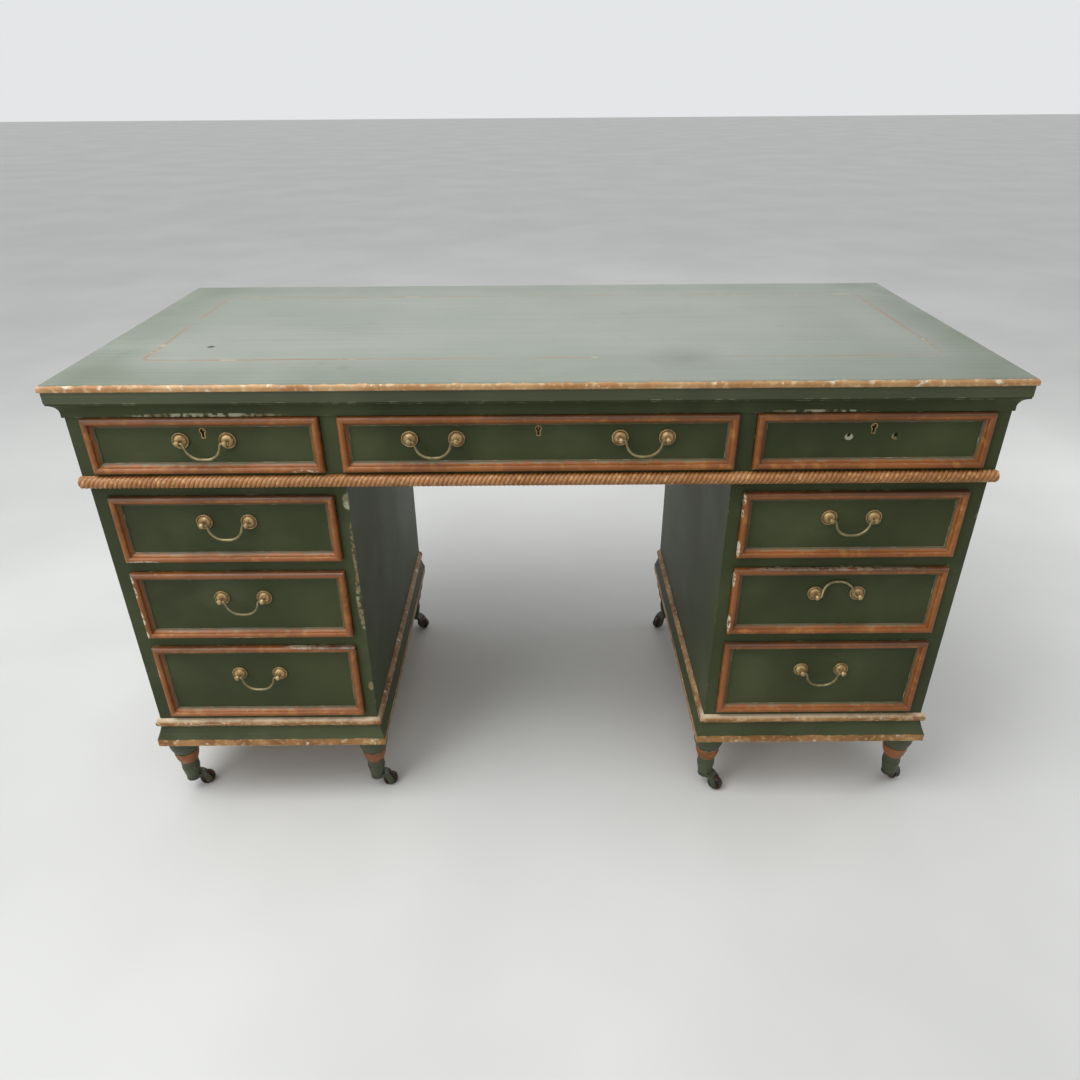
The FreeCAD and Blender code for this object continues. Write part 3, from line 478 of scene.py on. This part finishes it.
def makeFootFinish():
    # Turned pine painted green with a gilt band, in a caster cup painted to match
    material, tree, place = startFinish("turned_green_and_gilt_foot")
    height = add(tree, "SeparateXYZ", [place], 2)
    start, end = footGilt["bandFrom"] * mm, footGilt["bandUpTo"] * mm
    over = add(tree, "MapRange", [height, start, start + 1.0 * mm])
    under = add(tree, "MapRange", [height, end, end - 0.4 * mm])
    band = add(tree, "Math", [over, under], operation="MULTIPLY")
    layer = overLayer(tree, band, greenLayer(tree, place), giltLayer(tree, place, footGilt))
    return endFinish(material, layer)


brassTone = {"bright": "#b39a70", "dull": "#97805a", "dark": "#6e583b", "patch": 9, "speck": 2.5}
bailTone = {"bright": "#928866", "dull": "#7b7154", "dark": "#554b36", "patch": 12, "speck": 3}


def makeBrassFinish(name, values):
    # Cast brass gone brown, brighter where fingers rub it
    material, tree, place = startFinish(name)
    rubbed = blotches(tree, place, values["patch"], 0.35, 0.65)
    specks = blotches(tree, place, values["speck"], 0.5, 0.75, 0.7)
    layer = {
        "colour": linear(values["dull"]),
        "rough": add(tree, "MapRange", [rubbed, 0.0, 1.0, 0.68, 0.55]),
        "height": specks,
    }
    layer = tinted(tree, layer, rubbed, values["bright"])
    layer = tinted(tree, layer, specks, values["dark"])
    return endFinish(material, layer, relief=0.08, metallic=1.0)


ironTone = {"rust": "#4a3122", "dark": "#241c17", "patch": 10, "speck": 3}


def makeWheelFinish():
    # Cast iron worn on the tread and browned with rust
    material, tree, place = startFinish("rusted_cast_iron")
    specks = blotches(tree, place, ironTone["speck"], 0.3, 0.7)
    layer = {
        "colour": linear(ironTone["dark"]),
        "rough": add(tree, "MapRange", [specks, 0.0, 1.0, 0.5, 0.75]),
        "height": specks,
    }
    rust = blotches(tree, place, ironTone["patch"], 0.4, 0.62)
    return endFinish(material, tinted(tree, layer, rust, ironTone["rust"]), metallic=0.3)


hornPaint = dict(
    greenPaint, deep="#262b1d", fair="#353b28", undercoat="#6b5138", wood="#3a2c20",
    edgeReach=0.9, chip=8,
)


def makeHornFinish():
    # The same green brushed over iron, rubbed through at the edges
    material, tree, place = startFinish("green_paint_on_iron")
    return endFinish(material, greenLayer(tree, place, hornPaint))


finishes = {
    "green": makeGreenFinish(), "pine": makePineFinish(), "drawer": makeDrawerFinish(),
    "top": makeTopFinish(), "moulding": makeMouldingFinish(), "rope": makeRopeFinish(),
    "plinth": makePlinthFinish(), "foot": makeFootFinish(),
    "brass": makeBrassFinish("tarnished_cast_brass", brassTone),
    "bail": makeBrassFinish("handled_brass_bail", bailTone),
    "wheel": makeWheelFinish(), "horn": makeHornFinish(),
}
print("finishes:", len(finishes))


def newPiece(name, mesh, *materials):
    piece = bpy.data.objects.new(name, mesh)
    bpy.context.scene.collection.objects.link(piece)
    for material in materials:
        mesh.materials.append(material)
    return piece


def settle(piece, body, node):
    # A new piece moves with its body and stands for a CAD node
    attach(piece, body)
    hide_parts(node)


def smoothed(mesh, angle):
    # Smooth across gentle bends, with level and upright faces left flat
    mesh.shade_smooth()
    mesh.set_sharp_from_angle(angle=math.radians(angle))
    for face in mesh.polygons:
        face.use_smooth = max(abs(part) for part in face.normal) < 0.99999


def meshFrom(work, name):
    mesh = bpy.data.meshes.new(name)
    work.to_mesh(mesh)
    work.free()
    return mesh


def mergedCopy(node, name, keep=None):
    # A copy of a CAD node, or of the triangles that keep picks, with its triangles joined
    work = bmesh.new()
    work.from_mesh(nodes[node].data)
    if keep:
        spare = [face for face in work.faces if not all(keep(vert.co) for vert in face.verts)]
        bmesh.ops.delete(work, geom=spare, context="FACES")
    bmesh.ops.remove_doubles(work, verts=work.verts, dist=0.004 * mm)
    return meshFrom(work, name)


smoothCopies = {
    "desk_top": ("top", "painted_top"),
    "cornice_moulding": ("green", "green_painted_pine"),
    "plinth_mouldings": ("plinth", "gilt_moulding"),
}
casterFinishes = {"_horn": ("horn", "painted_iron"), "_wheel": ("wheel", "dark_iron")}


def makeSmoothCopies():
    # Nodes whose CAD shape is right: a copy shaded smooth across gentle bends
    copies = [(node, "desk", looks, 30) for node, looks in smoothCopies.items()]
    for node in nodes:
        ends = [end for end in casterFinishes if node.endswith(end)]
        copies += [(node, node, casterFinishes[end], 35) for end in ends]
    for node, body, (finish, slot), angle in copies:
        mesh = mergedCopy(node, node + "_finished")
        smoothed(mesh, angle)
        settle(newPiece(node + "_finished", mesh, finishes[finish]), body, node)
    print("smooth copies:", len(copies))


def makeCarcasses():
    # Painted outside and bare pine inside, chosen face by face
    near = 0.2 * mm
    for node in ("frieze_carcass", "right_pedestal_carcass", "left_pedestal_carcass"):
        low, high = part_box(node)
        mesh = nodes[node].data.copy()
        mesh.materials.clear()
        piece = newPiece(node + "_painted", mesh, finishes["pine"], finishes["green"])
        for face in mesh.polygons:
            x, y = face.center[:2]
            side = abs(face.normal.x) > 0.6 and (x - low.x < near or high.x - x < near)
            front = face.normal.y < -0.6 and y - low.y < near
            rear = face.normal.y > 0.6 and high.y - y < near
            face.material_index = int(side or front or rear)
        settle(piece, "desk", node)
    print("carcasses painted")


def refinish(node, finish):
    # A CAD node kept as it is, in a finish of this scene
    nodes[node].data.materials.clear()
    nodes[node].data.materials.append(finishes[finish])


makeSmoothCopies()
makeCarcasses()
drawers = [node for node in nodes if node.endswith("_drawer")]
for drawer in drawers:
    refinish(drawer, "drawer")


def arcPoints(start, middle, end, count):
    # Points on the circle through three points, without the first
    (ax, ay), (bx, by), (cx, cy) = start, middle, end
    d = 2 * (ax * (by - cy) + bx * (cy - ay) + cx * (ay - by))
    a, b, c = ax * ax + ay * ay, bx * bx + by * by, cx * cx + cy * cy
    ux = (a * (by - cy) + b * (cy - ay) + c * (ay - by)) / d
    uy = (a * (cx - bx) + b * (ax - cx) + c * (bx - ax)) / d
    radius = math.hypot(ax - ux, ay - uy)
    first = math.atan2(ay - uy, ax - ux)
    turn = (math.atan2(cy - uy, cx - ux) - first) % (2 * math.pi)
    if (math.atan2(by - uy, bx - ux) - first) % (2 * math.pi) > turn:
        turn -= 2 * math.pi
    angles = [first + turn * i / count for i in range(1, count + 1)]
    return [(ux + radius * math.cos(angle), uy + radius * math.sin(angle)) for angle in angles]


drawerMoulding = {
    "width": 13.5, "height": 9.0, "edgeShare": 0.6, "crown": ((0.24, 0.98), (0.6, 0.8)),
    "hollow": ((0.72, 0.34), (1.0, 0.1)), "mitreLine": 1.2, "crownFaces": 10, "hollowFaces": 8,
}


def makeDrawerMoulding(drawer, values):
    # A ring round the drawer front for each point of the section, mitred at the corners
    low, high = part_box(drawer + "_moulding")
    width, height = values["width"], values["height"]
    crown = [(width * a, height * b) for a, b in values["crown"]]
    hollow = [(width * a, height * b) for a, b in values["hollow"]]
    edge = (0.0, height * values["edgeShare"])
    section = [(0.0, 0.0), edge] + arcPoints(edge, crown[0], crown[1], values["crownFaces"])
    section += arcPoints(crown[1], hollow[0], hollow[1], values["hollowFaces"]) + [(width, 0.0)]
    work = bmesh.new()
    acrossLayer = work.verts.layers.float.new("across")
    mitreLayer = work.verts.layers.float.new("mitre")
    riseLayer = work.verts.layers.float.new("rise")
    rings = []
    for inset, proud in section:
        left, right = low.x + inset * mm, high.x - inset * mm
        foot, head = low.z + inset * mm, high.z - inset * mm
        corners = [(left, foot), (right, foot), (right, head), (left, head)]
        ring = []
        for (x, z), (nextX, nextZ) in zip(corners, corners[1:] + corners[:1]):
            step = Vector((nextX - x, nextZ - z)).normalized() * values["mitreLine"] * mm
            marks = [(x, z, 0.0), (x + step.x, z + step.y, 1.0)]
            marks.append((nextX - step.x, nextZ - step.y, 1.0))
            for atX, atZ, mark in marks:
                vert = work.verts.new((atX, high.y - proud * mm, atZ))
                vert[acrossLayer] = inset / width
                vert[mitreLayer] = mark
                vert[riseLayer] = (atZ - low.z) / (high.z - low.z)
                ring.append(vert)
        rings.append(ring)
    for outer, inner in zip(rings, rings[1:] + rings[:1]):
        for i in range(len(outer)):
            j = (i + 1) % len(outer)
            work.faces.new((outer[i], outer[j], inner[j], inner[i]))
    bmesh.ops.recalc_face_normals(work, faces=work.faces)
    mesh = meshFrom(work, drawer + "_gilt_moulding")
    smoothed(mesh, 35)
    piece = newPiece(drawer + "_gilt_moulding", mesh, finishes["moulding"])
    settle(piece, drawer, drawer + "_moulding")


for drawer in drawers:
    makeDrawerMoulding(drawer, drawerMoulding)
print("drawer mouldings:", len(drawers))


def newTree(name, sockets):
    # An empty geometry tree with its named inputs, and the group input's sockets
    tree = bpy.data.node_groups.new(name, "GeometryNodeTree")
    for label, kind in [("Geometry", "Geometry")] + sockets + [("Finish", "Material")]:
        tree.interface.new_socket(label, in_out="INPUT", socket_type="NodeSocket" + kind)
    tree.interface.new_socket("Geometry", in_out="OUTPUT", socket_type="NodeSocketGeometry")
    return tree, add(tree, "NodeGroupInput").node.outputs


def endTree(tree, made, given):
    # Real geometry in its finish
    made = add(tree, "GeometryNodeRealizeInstances", [made])
    made = add(tree, "GeometryNodeSetMaterial", {"Geometry": made, "Material": given["Finish"]})
    tree.links.new(made, tree.nodes.new("NodeGroupOutput").inputs[0])
    return tree


def grown(name, tree, base, **values):
    # Runs a tree on a base mesh and keeps the result as a plain mesh
    piece = newPiece(name, base)
    modifier = piece.modifiers.new("grow", "NODES")
    modifier.node_group = tree
    for socket in tree.interface.items_tree:
        if socket.in_out == "INPUT" and socket.name != "Geometry":
            modifier[socket.identifier] = values[socket.name.replace(" ", "")]
    made = piece.evaluated_get(bpy.context.evaluated_depsgraph_get())
    mesh = bpy.data.meshes.new_from_object(made)
    piece.modifiers.remove(modifier)
    piece.data = mesh
    return piece


ropeValues = {
    "radius": 8.5, "proud": 11.0, "strandPitch": 6.2, "strands": 4, "grooveDepth": 1.1,
    "endRound": 4.0, "step": 0.7, "sides": 40,
}


def makeRopeTree():
    # A bar along X grooved by a helix, rounded at its ends and flattened against the frieze
    names = ["Half Length", "Radius", "Lead", "Strands", "Groove Depth", "End Round"]
    names += ["Front", "Axis", "Height", "Step"]
    tree, given = newTree("rope_twist", [(name, "Float") for name in names] + [("Sides", "Int")])
    start = add(tree, "Math", [given["Half Length"], -1.0], operation="MULTIPLY")
    ends = [add(tree, "CombineXYZ", [end]) for end in (start, given["Half Length"])]
    path = add(tree, "GeometryNodeCurvePrimitiveLine", ends)
    path = {"Curve": path, "Length": given["Step"]}
    path = add(tree, "GeometryNodeResampleCurve", path, mode="LENGTH")
    ring = {"Resolution": given["Sides"], "Radius": 1.0}
    ring = add(tree, "GeometryNodeCurvePrimitiveCircle", ring)
    bar = {"Curve": path, "Profile Curve": ring, "Fill Caps": True}
    bar = add(tree, "GeometryNodeCurveToMesh", bar)
    x, y, z = add(tree, "SeparateXYZ", [add(tree, "GeometryNodeInputPosition")]).node.outputs
    angle = add(tree, "Math", [z, y], operation="ARCTAN2")
    turn = add(tree, "Math", [x, given["Lead"]], operation="DIVIDE")
    turn = add(tree, "Math", [turn, 2 * math.pi, angle], operation="MULTIPLY_ADD")
    halfCount = add(tree, "Math", [given["Strands"], 0.5], operation="MULTIPLY")
    ridge = add(tree, "Math", [turn, halfCount], operation="MULTIPLY")
    ridge = add(tree, "Math", [ridge], operation="SINE")
    ridge = add(tree, "Math", [ridge], operation="ABSOLUTE")
    ridge = add(tree, "Math", [ridge, 0.7], operation="POWER")  # fuller than a plain sine
    groove = add(tree, "Math", [1.0, ridge], operation="SUBTRACT")
    cut = add(tree, "Math", [groove, given["Groove Depth"]], operation="MULTIPLY")
    radius = add(tree, "Math", [given["Radius"], cut], operation="SUBTRACT")
    # The last few millimetres swing in on a quarter round
    fromEnd = add(tree, "Math", [x], operation="ABSOLUTE")
    fromEnd = add(tree, "Math", [given["Half Length"], fromEnd], operation="SUBTRACT")
    short = add(tree, "Math", [fromEnd, given["End Round"]], operation="DIVIDE", use_clamp=True)
    short = add(tree, "Math", [1.0, short], operation="SUBTRACT")
    short = add(tree, "Math", [short, short], operation="MULTIPLY")
    taper = add(tree, "Math", [1.0, short], operation="SUBTRACT")
    taper = add(tree, "Math", [taper], operation="SQRT")
    lost = add(tree, "Math", [1.0, taper], operation="SUBTRACT")
    lost = add(tree, "Math", [lost, given["End Round"]], operation="MULTIPLY")
    radius = add(tree, "Math", [radius, lost], operation="SUBTRACT")
    outward = add(tree, "Math", [angle], operation="COSINE")
    outward = add(tree, "Math", [outward, radius, given["Axis"]], operation="MULTIPLY_ADD")
    outward = add(tree, "Math", [outward, given["Front"]], operation="MINIMUM")
    upward = add(tree, "Math", [angle], operation="SINE")
    upward = add(tree, "Math", [upward, radius, given["Height"]], operation="MULTIPLY_ADD")
    place = add(tree, "CombineXYZ", [x, outward, upward])
    marked = {"Geometry": bar, "Name": "groove", "Value": groove}
    marked = add(tree, "GeometryNodeStoreNamedAttribute", marked, data_type="FLOAT", domain="POINT")
    shaped = add(tree, "GeometryNodeSetPosition", {"Geometry": marked, "Position": place})
    return endTree(tree, add(tree, "GeometryNodeSetShadeSmooth", [shaped]), given)


def makeRope(values):
    low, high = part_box("rope_moulding")
    piece = grown(
        "rope_twist_moulding", makeRopeTree(), bpy.data.meshes.new("rope_base"),
        Finish=finishes["rope"], HalfLength=high.x, Radius=values["radius"] * mm,
        Lead=values["strandPitch"] * values["strands"] * mm, Strands=float(values["strands"]),
        GrooveDepth=values["grooveDepth"] * mm, EndRound=values["endRound"] * mm,
        Front=high.y, Axis=high.y + (values["radius"] - values["proud"]) * mm,
        Height=(low.z + high.z) / 2, Step=values["step"] * mm, Sides=values["sides"],
    )
    settle(piece, "desk", "rope_moulding")
    print("rope:", len(piece.data.polygons), "faces")


makeRope(ropeValues)


def makePatternTree():
    # A pattern mesh set on every point of the base
    tree, given = newTree("pattern_on_points", [("Pattern", "Object")])
    pattern = add(tree, "GeometryNodeObjectInfo", {"Object": given["Pattern"]}, "Geometry")
    copies = {"Points": given["Geometry"], "Instance": pattern}
    return endTree(tree, add(tree, "GeometryNodeInstanceOnPoints", copies), given)


def repeated(name, pattern, points, finish):
    # The pattern repeated on points, as one mesh
    base = bpy.data.meshes.new(name)
    base.from_pydata(points, [], [])
    return grown(name, patternTree, base, Pattern=pattern, Finish=finish)


def lathe(work, profile, sides):
    # Turns radius and height points, in millimetres, about the Z axis, closed at both ends
    rings = []
    for radius, height in profile:
        turns = [2 * math.pi * i / sides for i in range(sides)] if radius else [0.0]
        ring = [(radius * mm * math.cos(t), radius * mm * math.sin(t), height * mm) for t in turns]
        rings.append([work.verts.new(point) for point in ring])
    for first, second in zip(rings, rings[1:]):
        for i in range(sides):
            j = (i + 1) % sides
            corners = [first[i % len(first)], first[j % len(first)]]
            corners += [second[j % len(second)], second[i % len(second)]]
            work.faces.new(list(dict.fromkeys(corners)))


def patternPiece(name, work, angle):
    bmesh.ops.recalc_face_normals(work, faces=work.faces)
    mesh = meshFrom(work, name)
    smoothed(mesh, angle)
    return newPiece(name, mesh)


handleValues = {
    "centres": 60.0, "rosette": 10.7, "rim": 1.4, "groove": 9.4, "grooveRise": 1.1,
    "dome": 8.6, "domeRise": 6.0, "domeBow": (6.54, 5.02),
    "post": 2.7, "reach": 12.5, "eye": 4.3, "eyeWidth": 6.0,
    "bolt": 2.5, "board": 18.0, "nut": 9.0, "nutThickness": 3.5, "boltTip": 1.5,
    "lockHalfWidth": 23.0, "sides": 40,
}
bailValues = {
    "tip": 1.6, "shoulderRound": 3.0, "drop": 22.0, "grip": 36.0, "bowRound": 20.0,
    "wire": 1.9, "thin": 0.86, "swell": 0.14, "rounds": 12, "step": 1.0, "sides": 16,
    "raisedOn": "right_middle_drawer", "raised": 207.916,  # degrees
}


def makePost(values):
    # Rosette, stem and flat-sided eye, with the bolt and square nut behind the drawer front
    rosette, groove, bolt = values["rosette"], values["groove"], values["bolt"]
    post, eye, reach = values["post"], values["eye"], values["reach"]
    rim = ((rosette + groove) / 2, 2 * values["rim"])
    eyeStart = reach - math.sqrt(eye ** 2 - post ** 2)
    boltEnd = -(values["board"] + values["nutThickness"] + values["boltTip"])
    profile = [(0.0, boltEnd), (bolt, boltEnd), (bolt, 0.0)]
    profile += [(rosette, 0.0), (rosette, values["rim"])]
    profile += arcPoints(profile[-1], rim, (groove, values["rim"]), 6)
    profile += [(groove, values["grooveRise"]), (values["dome"], values["grooveRise"])]
    profile += arcPoints(profile[-1], values["domeBow"], (post, values["domeRise"]), 8)
    profile.append((post, eyeStart))
    tip = (0.0, reach + eye)
    profile += arcPoints(profile[-1], (eye, reach), tip, 10)[:-1] + [tip]
    work = bmesh.new()
    lathe(work, profile, values["sides"])
    half = values["eyeWidth"] / 2 * mm
    for vert in work.verts:
        if vert.co.z > eyeStart * mm:
            vert.co.x = max(-half, min(half, vert.co.x))
    size = (values["nut"] * mm, values["nut"] * mm, values["nutThickness"] * mm, 1)
    nutAt = (0, 0, -(values["board"] + values["nutThickness"] / 2) * mm)
    nutAt = Matrix.Translation(nutAt) @ Matrix.Diagonal(size)
    bmesh.ops.create_cube(work, size=1.0, matrix=nutAt)
    bmesh.ops.rotate(work, verts=work.verts, matrix=Matrix.Rotation(math.radians(90), 3, "X"))
    return patternPiece("post_pattern", work, 30)


def makeBailTree():
    # Wire along the base's edges, its corners rounded and its grip swelled
    sockets = [(name, "Float") for name in ("Wire", "Thin", "Swell", "Step")]
    tree, given = newTree("bail_wire", sockets + [("Rounds", "Int"), ("Sides", "Int")])
    path = add(tree, "GeometryNodeMeshToCurve", [given["Geometry"]])
    bend = add(tree, "GeometryNodeInputNamedAttribute", {"Name": "bend"}, data_type="FLOAT")
    path = add(tree, "GeometryNodeFilletCurve", [path, given["Rounds"], bend, True], mode="POLY")
    path = {"Curve": path, "Length": given["Step"]}
    path = add(tree, "GeometryNodeResampleCurve", path, mode="LENGTH")
    along = add(tree, "GeometryNodeSplineParameter", out="Factor")
    bow = add(tree, "Math", [along, math.pi], operation="MULTIPLY")
    bow = add(tree, "Math", [bow], operation="SINE")
    bow = add(tree, "Math", [bow, 3.0], operation="POWER")  # keeps the swell to the grip
    share = add(tree, "Math", [bow, given["Swell"], given["Thin"]], operation="MULTIPLY_ADD")
    size = add(tree, "Math", [share, given["Wire"]], operation="MULTIPLY")
    ring = {"Resolution": given["Sides"], "Radius": 1.0}
    ring = add(tree, "GeometryNodeCurvePrimitiveCircle", ring)
    wire = {"Curve": path, "Profile Curve": ring, "Scale": size, "Fill Caps": True}
    wire = add(tree, "GeometryNodeCurveToMesh", wire)
    return endTree(tree, add(tree, "GeometryNodeSetShadeSmooth", [wire]), given)


def bailPin(bail, drawer):
    # The middle and height of a bail's pins: at its head if it hangs, at its foot if turned up
    low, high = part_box(bail)
    wire = bailValues["wire"] * mm
    height = low.z + wire if drawer == bailValues["raisedOn"] else high.z - wire
    return (low.x + high.x) / 2, height


def makeBail(node, drawer):
    # Pins through both eyes, short arms and a round bow, hanging or turned up as the CAD bail is
    handle, bail = handleValues, bailValues
    tip = handle["centres"] / 2 + handle["eyeWidth"] / 2 + bail["tip"]
    shoulder = handle["centres"] / 2 - handle["eyeWidth"] / 2 - bail["shoulderRound"]
    grip, drop = bail["grip"] / 2, bail["drop"]
    points = [(-tip, 0), (-shoulder, 0), (-grip, -drop), (grip, -drop), (shoulder, 0), (tip, 0)]
    bends = [0.0, bail["shoulderRound"], bail["bowRound"]]
    bends = [bend * mm for bend in bends + bends[::-1]]
    degrees = -bail["raised"] if drawer == bail["raisedOn"] else 0.0
    turn = Matrix.Rotation(math.radians(degrees), 3, "X")
    middle, height = bailPin(node, drawer)
    axis = Vector((middle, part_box(drawer)[0].y - handle["reach"] * mm, height))
    base = bpy.data.meshes.new(node + "_path")
    placed = [axis + turn @ Vector((x * mm, 0.0, z * mm)) for x, z in points]
    base.from_pydata(placed, [(i, i + 1) for i in range(len(points) - 1)], [])
    base.attributes.new("bend", "FLOAT", "POINT").data.foreach_set("value", bends)
    piece = grown(
        node + "_wire", bailTree, base, Finish=finishes["bail"], Wire=bail["wire"] * mm,
        Thin=bail["thin"], Swell=bail["swell"], Step=bail["step"] * mm,
        Rounds=bail["rounds"], Sides=bail["sides"],
    )
    settle(piece, node, node)


def makeHandles(drawer):
    # Posts on the drawer front, and the lock and keyhole lining of a drawer that locks
    bails = [node for node in nodes if node.startswith(drawer) and node.endswith("_bail")]
    node = drawer + "_brassware"
    if not bails:
        refinish(node, "brass")
        return
    low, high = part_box(drawer)
    reach = handleValues["centres"] / 2 * mm
    points = []
    for bail in bails:
        middle, height = bailPin(bail, drawer)
        points += [(middle - reach, low.y, height), (middle + reach, low.y, height)]
        makeBail(bail, drawer)
    posts = repeated(drawer + "_handle_posts", postPattern, points, finishes["brass"])
    settle(posts, drawer, node)
    if "frieze" in drawer:
        middle, half = (low.x + high.x) / 2, handleValues["lockHalfWidth"] * mm
        behind = low.y - 0.05 * mm

        def inLock(at):
            return abs(at.x - middle) < half and at.y > behind

        mesh = mergedCopy(node, drawer + "_lock", inLock)
        smoothed(mesh, 30)
        lock = newPiece(drawer + "_lock", mesh, finishes["brass"])
        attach(lock, drawer)


patternTree = makePatternTree()
bailTree = makeBailTree()
postPattern = makePost(handleValues)
for drawer in drawers:
    makeHandles(drawer)
bpy.data.objects.remove(postPattern)
print("handles fitted")


footValues = {
    "pivotHead": (4.6, 22.2, 23.7), "pivot": 3.0,
    "cupBottom": (11.0, 30.8), "cupTop": (14.2, 50.8), "rimLine": 0.5,
    "neck": (13.6, 64.0), "ringBow": (17.49, 73.66), "ringTop": (19.0, 87.0),
    "bellFoot": (18.2, 87.0), "bellBow": (23.03, 98.6), "bellTop": (22.4, 116.0),
    "blockTop": (22.4, 125.0), "sides": 48,
}


def makeFeet(values):
    # One turned foot in its cup, repeated at the casters' pivots
    headRadius, headLow, headHigh = values["pivotHead"]
    cupRadius, cupTop = values["cupTop"]
    pivot, line = values["pivot"], values["rimLine"]
    profile = [(0.0, headLow), (headRadius, headLow), (headRadius, headHigh), (pivot, headHigh)]
    profile += [(pivot, values["cupBottom"][1]), values["cupBottom"], (cupRadius, cupTop - line)]
    profile += [(cupRadius - line, cupTop), (cupRadius - 2 * line, cupTop)]
    profile += [(cupRadius - line, cupTop + line), values["neck"]]
    profile += arcPoints(values["neck"], values["ringBow"], values["ringTop"], 10)
    profile.append(values["bellFoot"])
    profile += arcPoints(values["bellFoot"], values["bellBow"], values["bellTop"], 10)
    profile += [values["blockTop"], (0.0, values["blockTop"][1])]
    work = bmesh.new()
    lathe(work, profile, values["sides"])
    pattern = patternPiece("foot_pattern", work, 32)
    joints = [joint for joint in frame["joints"] if joint["name"].endswith("_swivel")]
    points = [(joint["pos_m"][0], joint["pos_m"][1], 0.0) for joint in joints]
    piece = repeated("turned_feet_and_cups", pattern, points, finishes["foot"])
    settle(piece, "desk", "turned_feet")
    bpy.data.objects.remove(pattern)
    print("feet:", len(points))


makeFeet(footValues)


stageTones = {
    "floor": "#adaeac", "floorSeen": "#cecfcd", "floorPale": "#dadbd9",
    "floorPatch": 700, "floorGrit": 8, "floorReach": 30.0,  # the reach in metres
    "sky": "#e4e6e7", "ambient": "#eef1f4", "ambientLevel": 0.2,
}
lamps = {  # kind, place, target and settings
    "soft_overhead": (
        "SUN", (-0.5, -0.8, 3.0), (0, 0, 0), {"energy": 1.4, "angle": math.radians(80)},
    ),
    "left_softbox": ("AREA", (-1.1, -0.7, 2.4), (-0.1, -0.1, 0.4), {"energy": 36.0, "size": 1.6}),
    "front_fill": ("AREA", (-2.0, -2.4, 1.2), (-0.4, -0.2, 0.4), {"energy": 18.0, "size": 1.4}),
    "back_fill": ("AREA", (0.3, 3.0, 2.8), (0.0, 0.6, 0.3), {"energy": 10.0, "size": 2.4}),
    "low_back_fill": ("AREA", (0.0, 2.3, 0.3), (0.0, 0.3, 0.4), {"energy": 5.0, "size": 0.6}),
    "right_fill": ("AREA", (2.4, 0.5, 0.8), (0.6, 0.1, 0.35), {"energy": 9.0, "size": 1.0}),
}


def seenRays(tree):
    # 1 for what the camera sees straight, in a reflection or through glass
    ray = add(tree, "LightPath").node.outputs
    seen = add(tree, "Math", [ray["Is Camera Ray"], ray["Is Glossy Ray"]], operation="MAXIMUM")
    return add(tree, "Math", [seen, ray["Is Transmission Ray"]], operation="MAXIMUM")


def makeFloor(values):
    # Pale sealed concrete, a little uneven in tone, that throws less light up than it shows
    material, tree, place = startFinish("pale_sealed_concrete")
    patches = blotches(tree, place, values["floorPatch"], 0.3, 0.7)
    layer = {
        "colour": linear(values["floorSeen"]),
        "rough": add(tree, "MapRange", [patches, 0.0, 1.0, 0.6, 0.75]),
        "height": blotches(tree, place, values["floorGrit"], 0.3, 0.7),
    }
    layer = tinted(tree, layer, patches, values["floorPale"])
    shade = {0: seenRays(tree), 6: linear(values["floor"]), 7: layer["colour"]}
    layer["colour"] = add(tree, "Mix", shade, 2, data_type="RGBA")
    endFinish(material, layer, relief=0.02)
    far = values["floorReach"]
    corners = [(-far, -far, 0), (far, -far, 0), (far, far, 0), (-far, far, 0)]
    mesh = bpy.data.meshes.new("floor")
    mesh.from_pydata(corners, [], [(0, 1, 2, 3)])
    newPiece("floor", mesh, material)


def makeLamp(name, kind, place, target, settings):
    lamp = bpy.data.lights.new(name, kind)
    for setting, value in settings.items():
        setattr(lamp, setting, value)
    holder = bpy.data.objects.new(name, lamp)
    bpy.context.scene.collection.objects.link(holder)
    holder.visible_camera = False
    holder.location = place
    aim = Vector(target) - Vector(place)
    holder.rotation_euler = aim.to_track_quat("-Z", "Y").to_euler()


def makeWorld(values):
    # A soft sky for light, and a pale one for the camera and for reflections
    world = bpy.data.worlds.new("studio")
    world.use_nodes = True
    tree = world.node_tree
    soft = add(tree, "Background", [linear(values["ambient"]), values["ambientLevel"]])
    seen = add(tree, "Background", [linear(values["sky"]), 1.0])
    both = add(tree, "MixShader", [seenRays(tree), soft, seen])
    tree.links.new(both, tree.nodes["World Output"].inputs["Surface"])
    bpy.context.scene.world = world


photoView = {
    "lens": 27.2, "sensor": 36.0, "place": (0.001, -1.225, 1.0328),
    "down": 29.18, "roll": -0.421, "rise": -0.001,
}


def makeCamera(values):
    # Standing in front of the desk and looking down on it
    camera = bpy.data.cameras.new("photo_view")
    camera.sensor_width = values["sensor"]
    camera.lens = values["lens"]
    camera.shift_y = values["rise"]
    holder = bpy.data.objects.new("photo_view", camera)
    bpy.context.scene.collection.objects.link(holder)
    tilt = Matrix.Rotation(math.radians(90 - values["down"]), 4, "X")
    roll = Matrix.Rotation(math.radians(values["roll"]), 4, "Z")
    holder.matrix_world = Matrix.Translation(values["place"]) @ tilt @ roll
    bpy.context.scene.camera = holder


makeFloor(stageTones)
makeWorld(stageTones)
for name, (kind, place, target, settings) in lamps.items():
    makeLamp(name, kind, place, target, settings)
makeCamera(photoView)
bpy.context.scene.view_settings.view_transform = "Standard"
print("stage ready")
